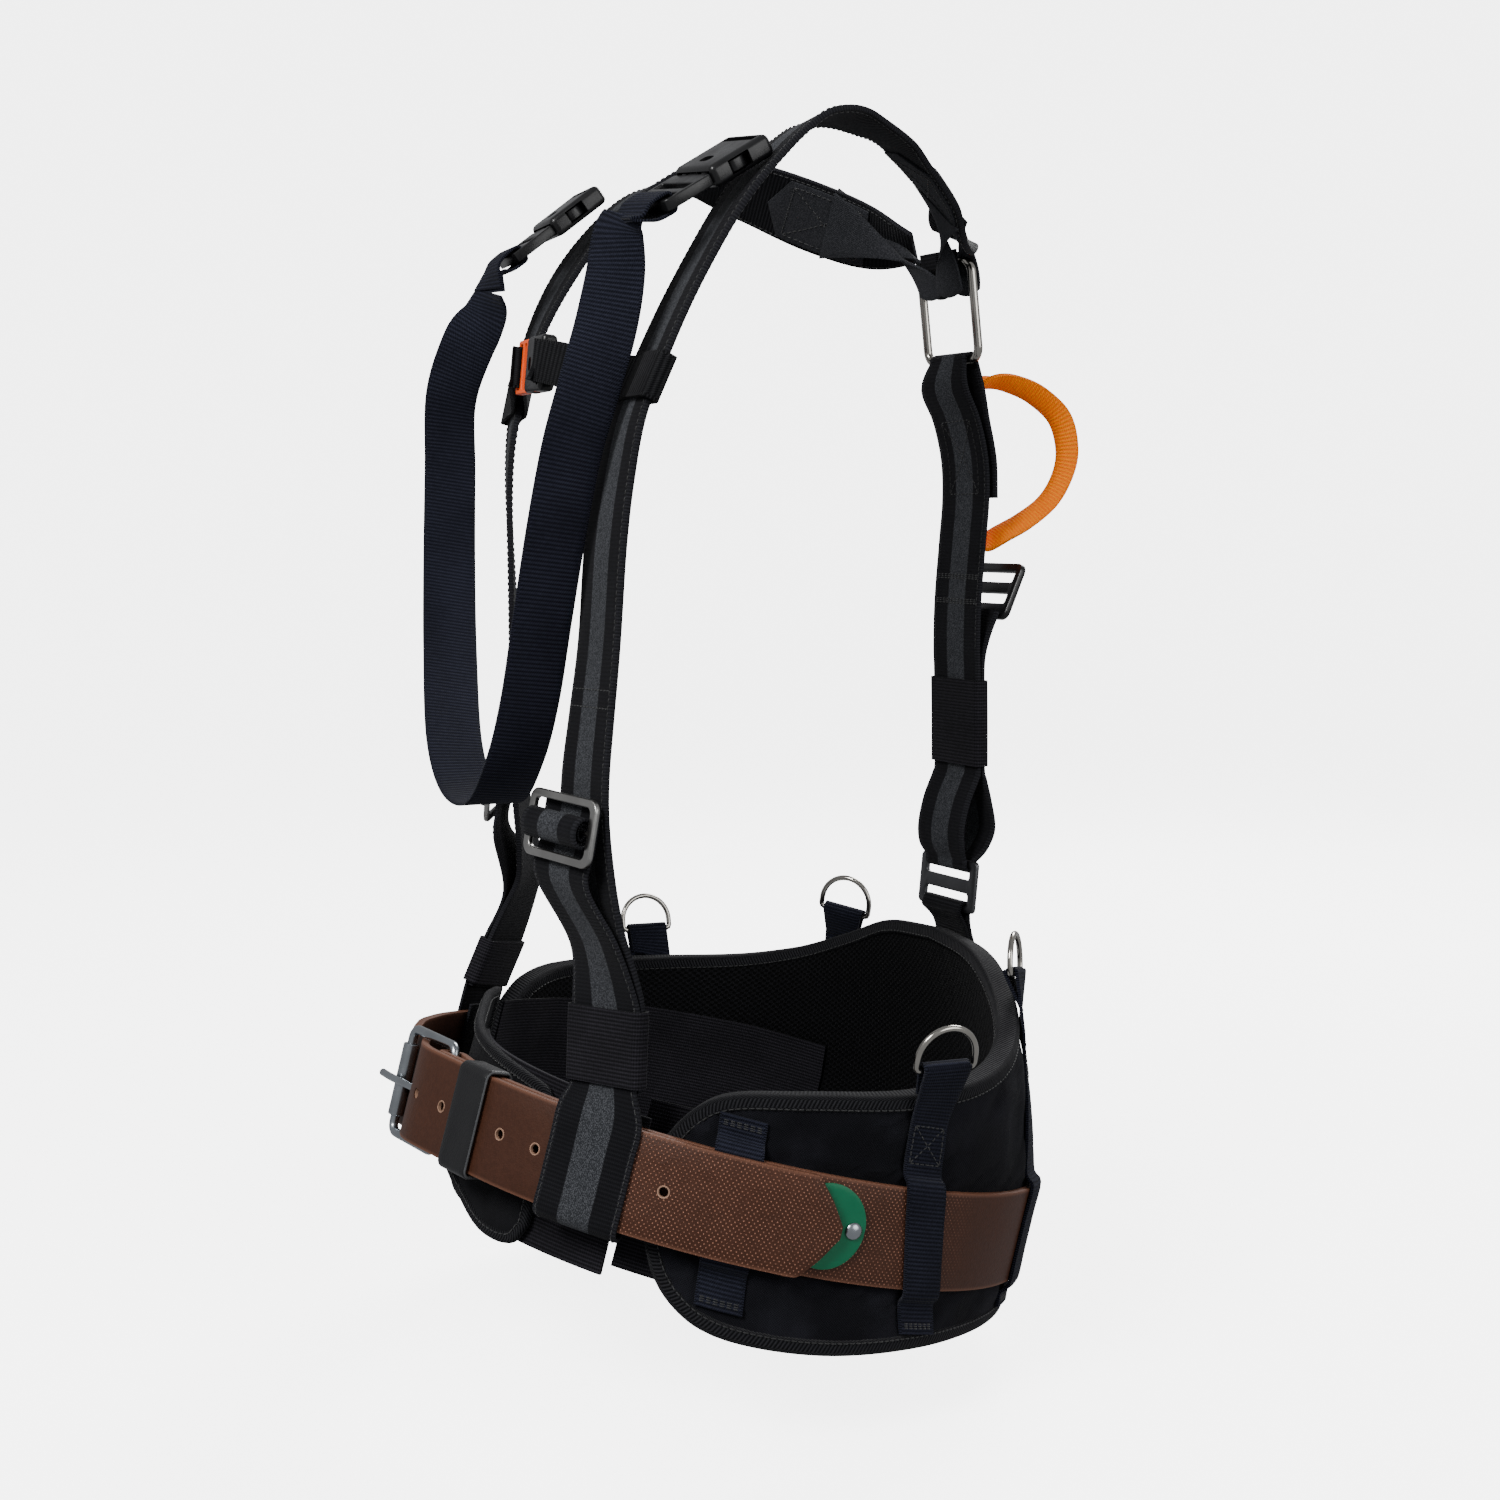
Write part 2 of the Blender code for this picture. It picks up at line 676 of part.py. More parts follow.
def ring_place(angle, slant, bar_out, bar_height, lean):
    """Frame of a D-ring on its bar."""
    here = angle + slant * bar_height
    upward = (waist(here + slant * 0.01, bar_out, bar_height + 0.01)
              - waist(here, bar_out, bar_height)).normalized()
    outward = (waist(here, 0.01, 0) - waist(here, 0, 0)).normalized()
    return place_on(waist(here, bar_out, bar_height), waist_along(here),
                    upward * math.cos(lean) + outward * math.sin(lean))


# Angle, slant, and the bar's out, height and lean, of each D-ring, and its tab's rows.
RINGS = {
    "side": (100.4, -82.0, 0.0145, 0.0875, math.radians(14),
             (-0.0470, -0.040, -0.032, -0.0265, -0.010, 0.010, 0.0265, 0.032, 0.046, 0.062)),
    "back": (136, 0.0, -0.0348, 0.1315, math.radians(-14),
             (-0.0395, -0.032, -0.0265, -0.010, 0.010, 0.0265, 0.032, 0.050, 0.070, 0.090,
              0.104)),
}


def hung_ring(word, side):
    """A D-ring in a folded webbing tab that is sewn to the pad and bridges the belt."""
    angle, slant, bar_out, bar_height, lean, foot = RINGS[word]
    tag = f"{word}_{'left' if side > 0 else 'right'}"
    place = ring_place(side * angle, side * slant, bar_out, bar_height, lean)
    ring = wire(f"d_ring_{tag}", ring_points(place, RING_INNER, 0.0215), RING_BAR, nickel(),
                closed=True, sides=1)
    pivot(ring, place.translation)
    fold = RING_BAR + GAP + WEB_THICK / 2 + 0.0003
    rows = [loop_row(side * angle, side * slant, height) for height in foot]
    for turn in (100, 60, 20, -20, -60, -100):
        bend = math.radians(turn)
        rows.append([place @ Vector((x, -fold * math.sin(bend), fold * math.cos(bend)))
                     for x in (-LOOP_WIDTH / 2, 0, LOOP_WIDTH / 2)])
    rows.append(loop_row(side * angle, side * slant, max(foot) + 0.006, WEB_THICK - GAP, 0.004))
    sheet(f"ring_tab_{tag}", rows, WEB_THICK, webbing())


def waist_webbing():
    for side, word in ((1, "left"), (-1, "right")):
        pad_loop(f"belt_loop_front_{word}", side * 66.3, side * -34, 0.0425, -0.0500)
        hung_ring("side", side)
        hung_ring("back", side)


def heading(degrees, dip=0.0):
    turn = math.radians(degrees)
    return Vector((math.cos(turn), math.sin(turn), dip))


# Middle lines of the shoulder straps, from the sleeve over the shoulder to the rear ring.
STRAP_LEFT = [((0.1218, -0.1292, 0.126), heading(16)), ((0.1200, -0.1332, 0.148), heading(10)),
              ((0.1165, -0.1366, 0.174), heading(10)), ((0.1138, -0.1378, 0.200), heading(9)),
              ((0.1130, -0.1370, 0.222), heading(8)), ((0.1123, -0.1335, 0.250), heading(6)),
              ((0.1108, -0.1287, 0.286), heading(4)), ((0.1095, -0.1247, 0.332), heading(4)),
              ((0.1088, -0.1195, 0.364), heading(2)), ((0.1084, -0.1125, 0.393), heading(0)),
              ((0.1090, -0.1000, 0.422), heading(-2)), ((0.1105, -0.0868, 0.450), heading(-3)),
              ((0.1118, -0.0712, 0.478), heading(-3)), ((0.1115, -0.0580, 0.498), heading(-2)),
              ((0.1095, -0.0430, 0.5155), heading(0)), ((0.1060, -0.0270, 0.530), heading(-2)),
              ((0.1010, -0.0100, 0.540), heading(-8)), ((0.0930, 0.0120, 0.543), heading(-16)),
              ((0.0840, 0.0390, 0.5370), heading(-23)), ((0.0740, 0.0600, 0.527), heading(-24)),
              ((0.0620, 0.0800, 0.5145), heading(-24)),
              ((0.0450, 0.0985, 0.5020), heading(-20, -0.2), 0.040),
              ((0.0260, 0.1115, 0.4985), heading(-4, -0.10), 0.026)]
STRAP_RIGHT = [((-0.1430, -0.0885, 0.115), heading(-42)),
               ((-0.1365, -0.0850, 0.134), heading(-36)), ((-0.1300, -0.0880, 0.156), heading(-30)),
               ((-0.1215, -0.0945, 0.192), heading(-26)), ((-0.1150, -0.0985, 0.240), heading(-22)),
               ((-0.1100, -0.1010, 0.298), heading(-20)), ((-0.1080, -0.1030, 0.367), heading(-16)),
               ((-0.1080, -0.0985, 0.406), heading(-12)), ((-0.1110, -0.0860, 0.447), heading(-6)),
               ((-0.1120, -0.0670, 0.483), heading(0)), ((-0.1100, -0.0440, 0.513), heading(0)),
               ((-0.1040, -0.0200, 0.5330), heading(4, 0.05)),
               ((-0.0980, 0.0080, 0.5410), heading(6, 0.25)),
               ((-0.0850, 0.0370, 0.5330), heading(6, 0.55)),
               ((-0.0660, 0.0700, 0.5180), heading(6, 0.85)),
               ((-0.0460, 0.0960, 0.5055), heading(6, 0.75), 0.040),
               ((-0.0260, 0.1150, 0.4985), heading(4, 0.20), 0.026)]


# Where each shoulder strap's lower webbing meets the belt: angle, out over the belt, the sleeve's
# ends on the strap, its heading, and the slide buckle's middle, heading and lean.
FEET = {
    "left": (43.0, TIP_OUT + BELT_THICK / 2 + 0.0013, Vector((0.1258, -0.1318, 0.064)),
             Vector((0.1222, -0.1286, 0.112)), 24, Vector((0.1140, -0.1500, 0.1970)), 15),
    "right": (-52.0, BELT_THICK / 2 + 0.0013, Vector((-0.1480, -0.1105, 0.060)),
              Vector((-0.1460, -0.0960, 0.094)), -46, Vector((-0.1225, -0.1085, 0.1880)), -28),
}
SLEEVE_THICK = 0.0012
LOWER_THICK = 0.0018


def strap_route(side):
    _, _, low, high, turn, _, _ = FEET[side]
    start = [(low.lerp(high, share), heading(turn)) for share in (0.12, 0.55, 1.0)]
    return start + (STRAP_LEFT if side == "left" else STRAP_RIGHT)


def shoulder_straps():
    look = material("strap_webbing", (0.022, 0.022, 0.025), 0.85)
    for side in ("left", "right"):
        ribbon(f"shoulder_strap_{side}", strap_route(side), STRAP_WIDTH, STRAP_THICK, look,
               steps=2)


def strap_place(side, height):
    """Frame on a shoulder strap's rising front run, at a height."""
    rows = ribbon_rows(strap_route(side), STRAP_WIDTH, 2)
    middles = [(left + right) / 2 for left, right in rows]
    found = len(rows) - 2
    for i in range(len(rows) - 1):
        if middles[i + 1].z > height:
            found = i
            break
    low, high = middles[found], middles[found + 1]
    share = (height - low.z) / (high.z - low.z)
    start, end = rows[found], rows[found + 1]
    return place_on(low.lerp(high, share), (start[1] - start[0]).lerp(end[1] - end[0], share),
                    high - low)


LOWER_FRONT = (STRAP_THICK + LOWER_THICK) / 2 + 0.0007


def lower_strap(side):
    """Adjusting webbing: round the leather belt, up through the sleeve, to the slide buckle."""
    angle, over, low, high, turn, _, buckle_turn = FEET[side]
    inside = -BELT_THICK / 2 - 0.0014
    half = STRAP_WIDTH / 2
    shares = (-1, -0.5, 0, 0.5, 1)
    rows = [[waist(angle + share * half / DEGREE, out, height) for share in shares]
            for out, height in
            ((inside, 0.030), (inside, 0.012), (inside, -0.014), (inside, -0.0262),
             ((inside + over) / 2, -0.0300), (over, -0.0262), (over, -0.012), (over, 0.008),
             (over, 0.0262))]
    place = buckle_frame_place(side)
    places = [(strap_place(side, low.z + (high.z - low.z) * share), LOWER_FRONT)
              for share in (0.14, 0.4, 0.7, 1.0)]
    lowest = place @ Matrix.Translation((0, 0, -0.026))
    middle = strap_place(side, (high.z + lowest.translation.z) / 2)
    places.append((middle, LOWER_FRONT + 0.0016))
    places += [(place @ Matrix.Translation((0, 0, up)), -SLIDE_BEHIND)
               for up in (-0.026, -0.008, 0.012)]
    rows += [[here @ Vector((share * half, -out, 0)) for share in shares]
             for here, out in places]
    sheet(f"lower_strap_{side}", smooth_rows(rows, 2), LOWER_THICK, webbing())


def smooth_rows(rows, steps):
    """Rows of points with smooth curves through each column."""
    columns = [through(list(column), steps) for column in zip(*rows)]
    return [list(row) for row in zip(*columns)]


def sleeve(side):
    """Ribbed elastic tube that gathers the strap and its lower webbing above the belt."""
    _, _, low, high, _, _, _ = FEET[side]
    back = -STRAP_THICK / 2 - SLEEVE_THICK / 2 - 0.0010
    front = LOWER_FRONT + LOWER_THICK / 2 + SLEEVE_THICK / 2 + 0.0010
    outline = rounded(STRAP_WIDTH + SLEEVE_THICK + 0.0026, front - back, 0.0030,
                      z=(front + back) / 2, corner=2)
    places = [strap_place(side, low.z + (high.z - low.z) * share)
              for share in (0.18, 0.38, 0.58, 0.78, 0.94)]
    rows = [[place @ Vector((x, -out, 0)) for place in places] for x, out in outline]
    sheet(f"strap_sleeve_{side}", rows, SLEEVE_THICK, elastic(), closed=True)


def buckle_frame_place(side):
    _, _, _, _, _, middle, turn = FEET[side]
    lean = 0.18 if side == "left" else 0.10
    return frame_at(middle, heading(turn, -0.04), (0, lean, 1))


SLIDE_SIZE = (0.056, 0.033)
SLIDE_WINDOW = (0.0465, 0.0245)
SLIDE_THICK = 0.003
SLIDE_BAR = 0.0014
SLIDE_BEHIND = 0.0052


def slide_buckle(side):
    """Flat frame with a round centre bar, and the webbing's tail rolled on the bar."""
    place = buckle_frame_place(side)
    satin = material("satin_nickel", (0.60, 0.59, 0.57), 0.35, 1.0)
    frame = outline_plate(f"slide_buckle_{side}", [rounded(*SLIDE_SIZE, 0.006),
                                                   rounded(*SLIDE_WINDOW, 0.003)],
                          SLIDE_THICK, place, satin, bevel=0.0006)
    bar = drill(f"join_bar_{side}", SLIDE_BAR, SLIDE_WINDOW[0] + 0.004,
                place @ Matrix.Rotation(math.pi / 2, 4, "Z"))
    combine(frame, bar, "UNION")
    pivot(frame, place.translation)
    rows = []
    for turn in range(0, 360, 30):
        bend = math.radians(turn)
        out = 0.0024 + 0.0050 * math.cos(bend)
        up = 0.0068 * math.sin(bend)
        rows.append([place @ Vector((x, -out, up))
                     for x in (-STRAP_WIDTH / 2, STRAP_WIDTH / 2)])
    roll = sheet(f"strap_roll_{side}", rows, WEB_THICK, webbing(), closed=True)
    pivot(roll, place.translation)


REAR_RING = (0.050, 0.054, Vector((0, 0.1235, 0.4600)))
REAR_RING_WIRE = 0.0025
REAR_HEADING = 5


def rear_place(y, z, lean=0.0):
    return frame_at(Vector((0, y, z)), heading(REAR_HEADING), (0, lean, 1))


def rear_ring():
    width, height, centre = REAR_RING
    place = frame_at(centre, heading(REAR_HEADING), (0, -0.12, 1))
    points = [place @ Vector((x, 0, z)) for x, z in rounded(width, height, 0.007, corner=4)]
    wire("rear_ring", points, REAR_RING_WIRE, nickel(), closed=True)


def fold_round(place, centre_x, radius, start, end, count):
    """Points of a fold in the place's YZ plane: 0 degrees is outward, 90 is up."""
    return [place @ Vector((centre_x, -radius * math.cos(math.radians(turn)),
                            radius * math.sin(math.radians(turn))))
            for turn in spread(start, end, count)]


def yoke_folds():
    """The sewn ends of the shoulder straps, folded over the rear ring's top bar."""
    width, height, centre = REAR_RING
    bar = centre + Vector((0, -0.12 * height / 2, height / 2))
    for side, word in ((1, "left"), (-1, "right")):
        place = frame_at(bar, heading(REAR_HEADING), (0, 0, 1))
        radius = REAR_RING_WIRE + GAP + WEB_THICK / 2
        x = side * 0.0092
        across = heading(REAR_HEADING)
        points = [place @ Vector((x, -radius - 0.0012, 0.0065))]
        points += fold_round(place, x, radius, -10, -170, 7)
        points.append(place @ Vector((x, radius + 0.0012, 0.0065)))
        ribbon(f"yoke_fold_{word}", [(point, across) for point in points], 0.0168, WEB_THICK,
               webbing(), steps=2)


# Depth and height of the rear strap's inner run, the side towards the wearer's back.
REAR_INNER = [(0.1205, 0.4180), (0.1285, 0.4000), (0.1340, 0.3780), (0.1350, 0.3550),
              (0.1330, 0.3300), (0.1305, 0.2980), (0.1300, 0.2720), (0.1306, 0.2560),
              (0.1311, 0.2290), (0.1315, 0.2025), (0.1300, 0.1960), (0.1245, 0.1830),
              (0.1210, 0.1680), (0.1215, 0.1570)]
REAR_OUTER = [(0.1370, 0.1570), (0.1415, 0.1680), (0.1390, 0.1830), (0.1356, 0.1960),
              (0.1341, 0.2025), (0.1337, 0.2290), (0.1332, 0.2560), (0.1340, 0.2680),
              (0.1375, 0.2800), (0.1430, 0.2930)]


def plate_place():
    return rear_place(0.1262, 0.1346, 0.10)


def through_plate(bar):
    """Points of webbing through a window of the rear plate and round the bar at that height,
    from the side towards the wearer."""
    up = 1 if bar > 0 else -1
    points = [(3.3, 3.6), (2.9, 1.6), (2.7, 0.0), (2.2, -1.5), (1.2, -2.3), (0, -2.5), (-1.2, -2.3),
              (-2.2, -1.5), (-2.7, 0.0), (-2.9, 1.6), (-3.3, 3.6)]
    return [plate_place() @ Vector((0, -out / 1000, bar + up * rise / 1000))
            for out, rise in points]


def rear_strap():
    """Upper strap folded over the ring, down the back and round the plate, up to the adjuster."""
    width, height, centre = REAR_RING
    bar = centre + Vector((0, 0.12 * height / 2, -height / 2))
    place = frame_at(bar, heading(REAR_HEADING), (0, 0, 1))
    across = heading(REAR_HEADING)
    radius = REAR_RING_WIRE + GAP + LOWER_THICK / 2
    stations = [(Vector((0, y, z)), across) for y, z in
                ((0.1405, 0.3560), (0.1395, 0.3780), (0.1345, 0.4010), (0.1315, 0.4160))]
    stations += [(point, across, 0.034) for point in fold_round(place, 0, radius, 180, 0, 6)]
    stations += [(Vector((0, y, z)), across) for y, z in REAR_INNER]
    stations += [(point, across, 0.040) for point in through_plate(0.0114)]
    stations += [(Vector((0, y, z)), across) for y, z in REAR_OUTER]
    ribbon("rear_strap", stations, STRAP_WIDTH, LOWER_THICK, webbing(), steps=2)


def rear_sleeve():
    rows = [[rear_place(y, z) @ Vector((across, out, 0)) for y, z in
             ((0.1327, 0.2040), (0.1324, 0.2290), (0.1319, 0.2530))]
            for across, out in rounded(STRAP_WIDTH + 0.0028, 0.0080, 0.0030, corner=2)]
    sheet("rear_sleeve", rows, SLEEVE_THICK, elastic(), closed=True)


def rear_plate():
    """Flat steel plate with a slot for the strap and a slot for the pad's tab."""
    black_steel = material("black_steel", (0.10, 0.10, 0.105), 0.35, 1.0)
    place = plate_place()
    windows = [rounded(0.043, 0.0072, 0.002, z=z) for z in (0.0072, -0.0078)]
    outline_plate("rear_plate", [rounded(0.056, 0.030, 0.003)] + windows, 0.0024, place,
                  black_steel, bevel=0.0004)


def rear_tab():
    """Webbing tab on the back of the pad that holds the plate."""
    across = heading(REAR_HEADING)
    outer = [(waist(180, PAD_OUT + pad_lean(180, h) + 0.0060, h), heading(0))
             for h in (0.082, 0.100, 0.118, 0.134, 0.1455)]
    inner = [(waist(180, PAD_OUT + pad_lean(180, h) + 0.0034, h), heading(0))
             for h in (0.1455, 0.134, 0.118, 0.100, 0.084)]
    middle = [(point, across) for point in reversed(through_plate(-0.0120))]
    stations = [(p, a, 0.038) for p, a in outer + middle + inner]
    ribbon("rear_tab", stations, 0.038, WEB_THICK, webbing(), steps=1)


def rear_adjuster():
    """Plastic ladder buckle between the strap's lower end and its short upper tab."""
    place = rear_place(0.1520, 0.3030, 0.45)
    windows = [rounded(0.040, 0.0065, 0.0015, z=z) for z in (0.0085, -0.0045)]
    outline_plate("rear_adjuster", [rounded(0.050, 0.034, 0.005)] + windows, 0.0040, place,
                  plastic(), bevel=0.0008)


def drag_handle():
    look = material("orange_webbing", (1.0, 0.42, 0.02), 0.7)
    across = heading(REAR_HEADING)
    route = [(0.1460, 0.4080), (0.1480, 0.4170), (0.1560, 0.4215), (0.1770, 0.4160),
             (0.1950, 0.4030), (0.2010, 0.3850), (0.1980, 0.3690), (0.1880, 0.3540),
             (0.1720, 0.3440), (0.1580, 0.3390), (0.1480, 0.3370), (0.1450, 0.3470)]
    ribbon("drag_handle", [(Vector((0, y, z)), across, w) for (y, z), w in
                           zip(route, (0.026, 0.026, 0.026, 0.024, 0.020, 0.017, 0.016, 0.018,
                                       0.022, 0.026, 0.026, 0.026))],
           0.026, 0.0030, look)


RELEASE_BASE = 0.034
PRONG_ROOT = (0.0012, 0.0090)


def release_buckle(tag, place, width, male_look):
    """Side release buckle. X runs from the male half to the female one, from the parting
    plane, Z across the webbing and -Y outward."""
    s = width / RELEASE_BASE
    shape = bmesh.new()
    bmesh.ops.create_cube(shape, size=1.0, matrix=Matrix.Translation((0.016 * s, 0, 0))
                          @ Matrix.Diagonal((0.032 * s, 0.0100 * s, width, 1)))
    bmesh.ops.bevel(shape, geom=shape.edges, offset=0.0016 * s, segments=2, affect="EDGES")
    mesh = bpy.data.meshes.new(f"{tag}_buckle_female")
    shape.to_mesh(mesh)
    shape.free()
    female = finish(mesh, f"{tag}_buckle_female", plastic(), 40)
    female.matrix_world = place
    cuts = (("cavity", (0.026 * s, 0.0064 * s, width - 0.0044 * s), (0.0100 * s, 0, 0)),
            ("window", (0.0110 * s, 0.0064 * s, width + 0.004), (0.0145 * s, 0, 0)),
            ("slot", (0.0036 * s, 0.02, width - 0.0070 * s), (0.0270 * s, 0, 0)))
    for word, size, centre in cuts:
        cut = box_cutter(f"cut_{tag}_{word}", size, place @ Matrix.Translation(centre))
        combine(female, cut, "DIFFERENCE")
    half = width / 2 - 0.0004
    body = [(-0.025 * s, -half + 0.002 * s), (-0.025 * s, half - 0.002 * s),
            (-0.023 * s, half), (-0.002 * s, half), (-GAP, half - 0.0015 * s),
            (-GAP, 0.0042 * s), (0.0180 * s, 0.0034 * s), (0.0190 * s, 0.0022 * s),
            (0.0190 * s, -0.0022 * s), (0.0180 * s, -0.0034 * s), (-GAP, -0.0042 * s),
            (-GAP, -half + 0.0015 * s), (-0.002 * s, -half), (-0.023 * s, -half)]
    windows = [rounded(0.0050 * s, width - 0.0060 * s, 0.001, x=x * s, corner=1)
               for x in (-0.0190, -0.0105)]
    outline_plate(f"{tag}_buckle_male", [body] + windows, 0.0050 * s, place, male_look)
    for sign, word in ((1, "front"), (-1, "rear")):
        arm = [(0.0006, 0.0070), (0.0006, 0.0110), (0.0070, 0.0125), (0.0105, 0.0156),
               (0.0125, 0.0164), (0.0165, 0.0160), (0.0200, 0.0115), (0.0205, 0.0085),
               (0.0185, 0.0076), (0.0090, 0.0088)]
        prong = outline_plate(f"{tag}_prong_{word}", [[(x * s, sign * z * s) for x, z in arm]],
                              0.0050 * s, place, male_look)
        pivot(prong, place @ Vector((PRONG_ROOT[0] * s, 0, sign * PRONG_ROOT[1] * s)))


def chest_buckle_place():
    return frame_at(Vector((0.0005, -0.1240, 0.4235)), (1, -0.02, 0), (0, 0.10, 1))


SHOULDER_BUCKLES = {
    "left": (Vector((0.1080, -0.0770, 0.5065)), Vector((-0.0015, 0.0610, 0.0370)),
             Vector((0.97, 0.22, -0.03))),
    "right": (Vector((-0.1080, -0.0800, 0.5065)), Vector((0.0015, 0.0560, 0.0430)),
              Vector((0.97, 0.00, 0.03))),
}


def shoulder_buckle_place(side):
    """X points up the shoulder, from the male half to the female one, and Z across the strap."""
    middle, along, across = SHOULDER_BUCKLES[side]
    return frame_at(middle, along, across)


def shoulder_buckles():
    for side in ("left", "right"):
        place = shoulder_buckle_place(side)
        release_buckle(f"shoulder_{side}", place, 0.0385, plastic())


CHEST_THICK = 0.0018
# Each chest strap's side, its height on the shoulder strap, and its turn round the buckle's
# end bar as (along, out) from the front leg to the middle of the slot.
CHEST_LOOPS = {
    "left": (1, 0.411, ((0.0305, 0.0054), (0.0262, 0.0057), (0.0239, 0.0056), (0.02305, 0.0046),
                        (0.02305, 0.0020))),
    "right": (-1, 0.4125, ((-0.0245, 0.0038), (-0.0200, 0.0038), (-0.0178, 0.0035),
                           (-0.0169, 0.0024), (-0.0169, 0.0010))),
}


def chest_straps():
    """Webbing loops round the shoulder straps that carry the chest buckle."""
    knit = material("knit_webbing", (0.020, 0.020, 0.022), 0.9)
    clear = STRAP_THICK / 2 + 0.0014 + CHEST_THICK / 2
    edge = STRAP_WIDTH / 2 + 0.0020 + CHEST_THICK / 2
    bar_place = chest_buckle_place()
    for word, (side, height, turn) in CHEST_LOOPS.items():
        place = strap_place(word, height)
        outline = [(-edge + 0.003, -clear), (0, -clear), (edge - 0.003, -clear),
                   (edge, -clear / 2), (edge, clear / 2), (edge - 0.003, clear), (0, clear),
                   (-edge + 0.003, clear)]
        rise = place.to_3x3() @ Vector((0, 0, 1))
        stations = [(place @ Vector((side * x, -out, 0)), rise) for x, out in outline]
        back = [(along, -out) for along, out in reversed(turn)]
        stations += [(bar_place @ Vector((along, -out, 0)), (0, 0.1, 1), 0.0215)
                     for along, out in list(turn) + back]
        ribbon(f"chest_strap_{word}", stations, 0.0235, CHEST_THICK, knit, steps=1, closed=True)


def navy_strap():
    """Spare webbing that joins the two shoulder buckles in one hanging loop."""
    route = [((0.1085, -0.1140, 0.4880), 20), ((0.1070, -0.1165, 0.4790), 32),
             ((0.1075, -0.1180, 0.4600), 50), ((0.1080, -0.1230, 0.4360), 66),
             ((0.1085, -0.1315, 0.4080), 78), ((0.1060, -0.1400, 0.3770), 84),
             ((0.1000, -0.1460, 0.3390), 86), ((0.0920, -0.1510, 0.2950), 88),
             ((0.0840, -0.1550, 0.2560), 88), ((0.0720, -0.1590, 0.2260), 88),
             ((0.0500, -0.1630, 0.2030), 88), ((0.0200, -0.1670, 0.2050), 90),
             ((-0.0100, -0.1660, 0.2280), 92), ((-0.0500, -0.1560, 0.2730), 94),
             ((-0.0800, -0.1470, 0.3220), 95), ((-0.1000, -0.1400, 0.3720), 95),
             ((-0.1100, -0.1360, 0.4120), 95), ((-0.1130, -0.1250, 0.4420), 80),
             ((-0.1110, -0.1150, 0.4600), 40), ((-0.1085, -0.1130, 0.4720), 10)]
    ribbon("carry_strap", [(Vector(p), heading(turn)) for p, turn in route], NAVY_WIDTH,
           NAVY_THICK, navy())


def main():
    waist_pad()
    elastic_bands()
    front_closure()
    leather_belt()
    belt_buckle()
    belt_keeper()
    swing_tag()
    waist_webbing()
    shoulder_straps()
    for side in ("left", "right"):
        lower_strap(side)
        sleeve(side)
        slide_buckle(side)
    rear_ring()
    yoke_folds()
    rear_strap()
    rear_sleeve()
    rear_plate()
    rear_tab()
    rear_adjuster()
    drag_handle()
    shoulder_buckles()
    release_buckle("chest", chest_buckle_place(), 0.029, orange_plastic())
    chest_straps()
    navy_strap()


main()
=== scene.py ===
"""Looks of the tool support harness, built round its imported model.

Metres, in the model's own frame: the wearer faces -Y and +X is the wearer's left.
"""
import bisect
import math

import bmesh
import bpy
from mathutils import Matrix, Vector, noise


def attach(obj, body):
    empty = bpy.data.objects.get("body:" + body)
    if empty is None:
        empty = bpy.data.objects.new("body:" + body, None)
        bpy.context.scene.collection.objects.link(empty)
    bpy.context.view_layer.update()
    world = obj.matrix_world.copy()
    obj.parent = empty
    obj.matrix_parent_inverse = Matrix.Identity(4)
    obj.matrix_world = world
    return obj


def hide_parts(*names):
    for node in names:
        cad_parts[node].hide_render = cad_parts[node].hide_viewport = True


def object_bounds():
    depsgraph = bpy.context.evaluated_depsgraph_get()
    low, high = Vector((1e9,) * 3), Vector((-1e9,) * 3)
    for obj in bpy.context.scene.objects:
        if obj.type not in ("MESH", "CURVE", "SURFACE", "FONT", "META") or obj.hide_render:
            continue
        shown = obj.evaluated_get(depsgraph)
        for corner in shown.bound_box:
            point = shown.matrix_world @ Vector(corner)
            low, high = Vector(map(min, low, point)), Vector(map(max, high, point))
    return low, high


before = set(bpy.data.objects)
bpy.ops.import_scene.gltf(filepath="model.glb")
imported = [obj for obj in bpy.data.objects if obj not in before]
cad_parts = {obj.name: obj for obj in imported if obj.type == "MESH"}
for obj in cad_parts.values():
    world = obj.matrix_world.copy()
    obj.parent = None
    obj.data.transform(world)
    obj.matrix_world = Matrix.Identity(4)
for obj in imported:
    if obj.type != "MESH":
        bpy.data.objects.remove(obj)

CAD_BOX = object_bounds()

# The waist ellipse that the middle of the leather belt's inner layer follows.
WAIST_A = 0.183
WAIST_B = 0.170
WAIST_CENTRE = Vector((0, -0.018, -0.0005))
WAIST_TILT = math.radians(15)
DEGREE = 0.00315

BELT_WIDTH = 0.050
BELT_THICK = 0.004
TIP_OUT = 0.0066
HOLE_FIRST = 3.8
HOLE_STEP = 7.4
HOLE_COUNT = 8
HOLE_RADIUS = 0.0028

PAD_OUT = -0.0026
COVER_THICK = 0.0012
FOAM_THICK = 0.0064
LINING_THICK = 0.0020
LAYER_GAP = 0.0011
PAD_FRONT = 52.0
BINDING_HEIGHT = 0.005
BINDING_WIDTH = 0.0135

STRAP_WIDTH = 0.045
STRAP_THICK = 0.0030
WEB_THICK = 0.0016
LOOP_WIDTH = 0.025
NAVY_WIDTH = 0.030
NAVY_THICK = 0.0015
GAP = 0.0004

BUCKLE_ANGLE = 6.0
BUCKLE_HEEL_OUT = -0.003
BUCKLE_HEADING = math.radians(12)
BUCKLE_LENGTH = 0.046
BUCKLE_HEIGHT = 0.053
BAR_RADIUS = 0.0025
ROLLER_RADIUS = 0.0043
PRONG_RADIUS = 0.0020

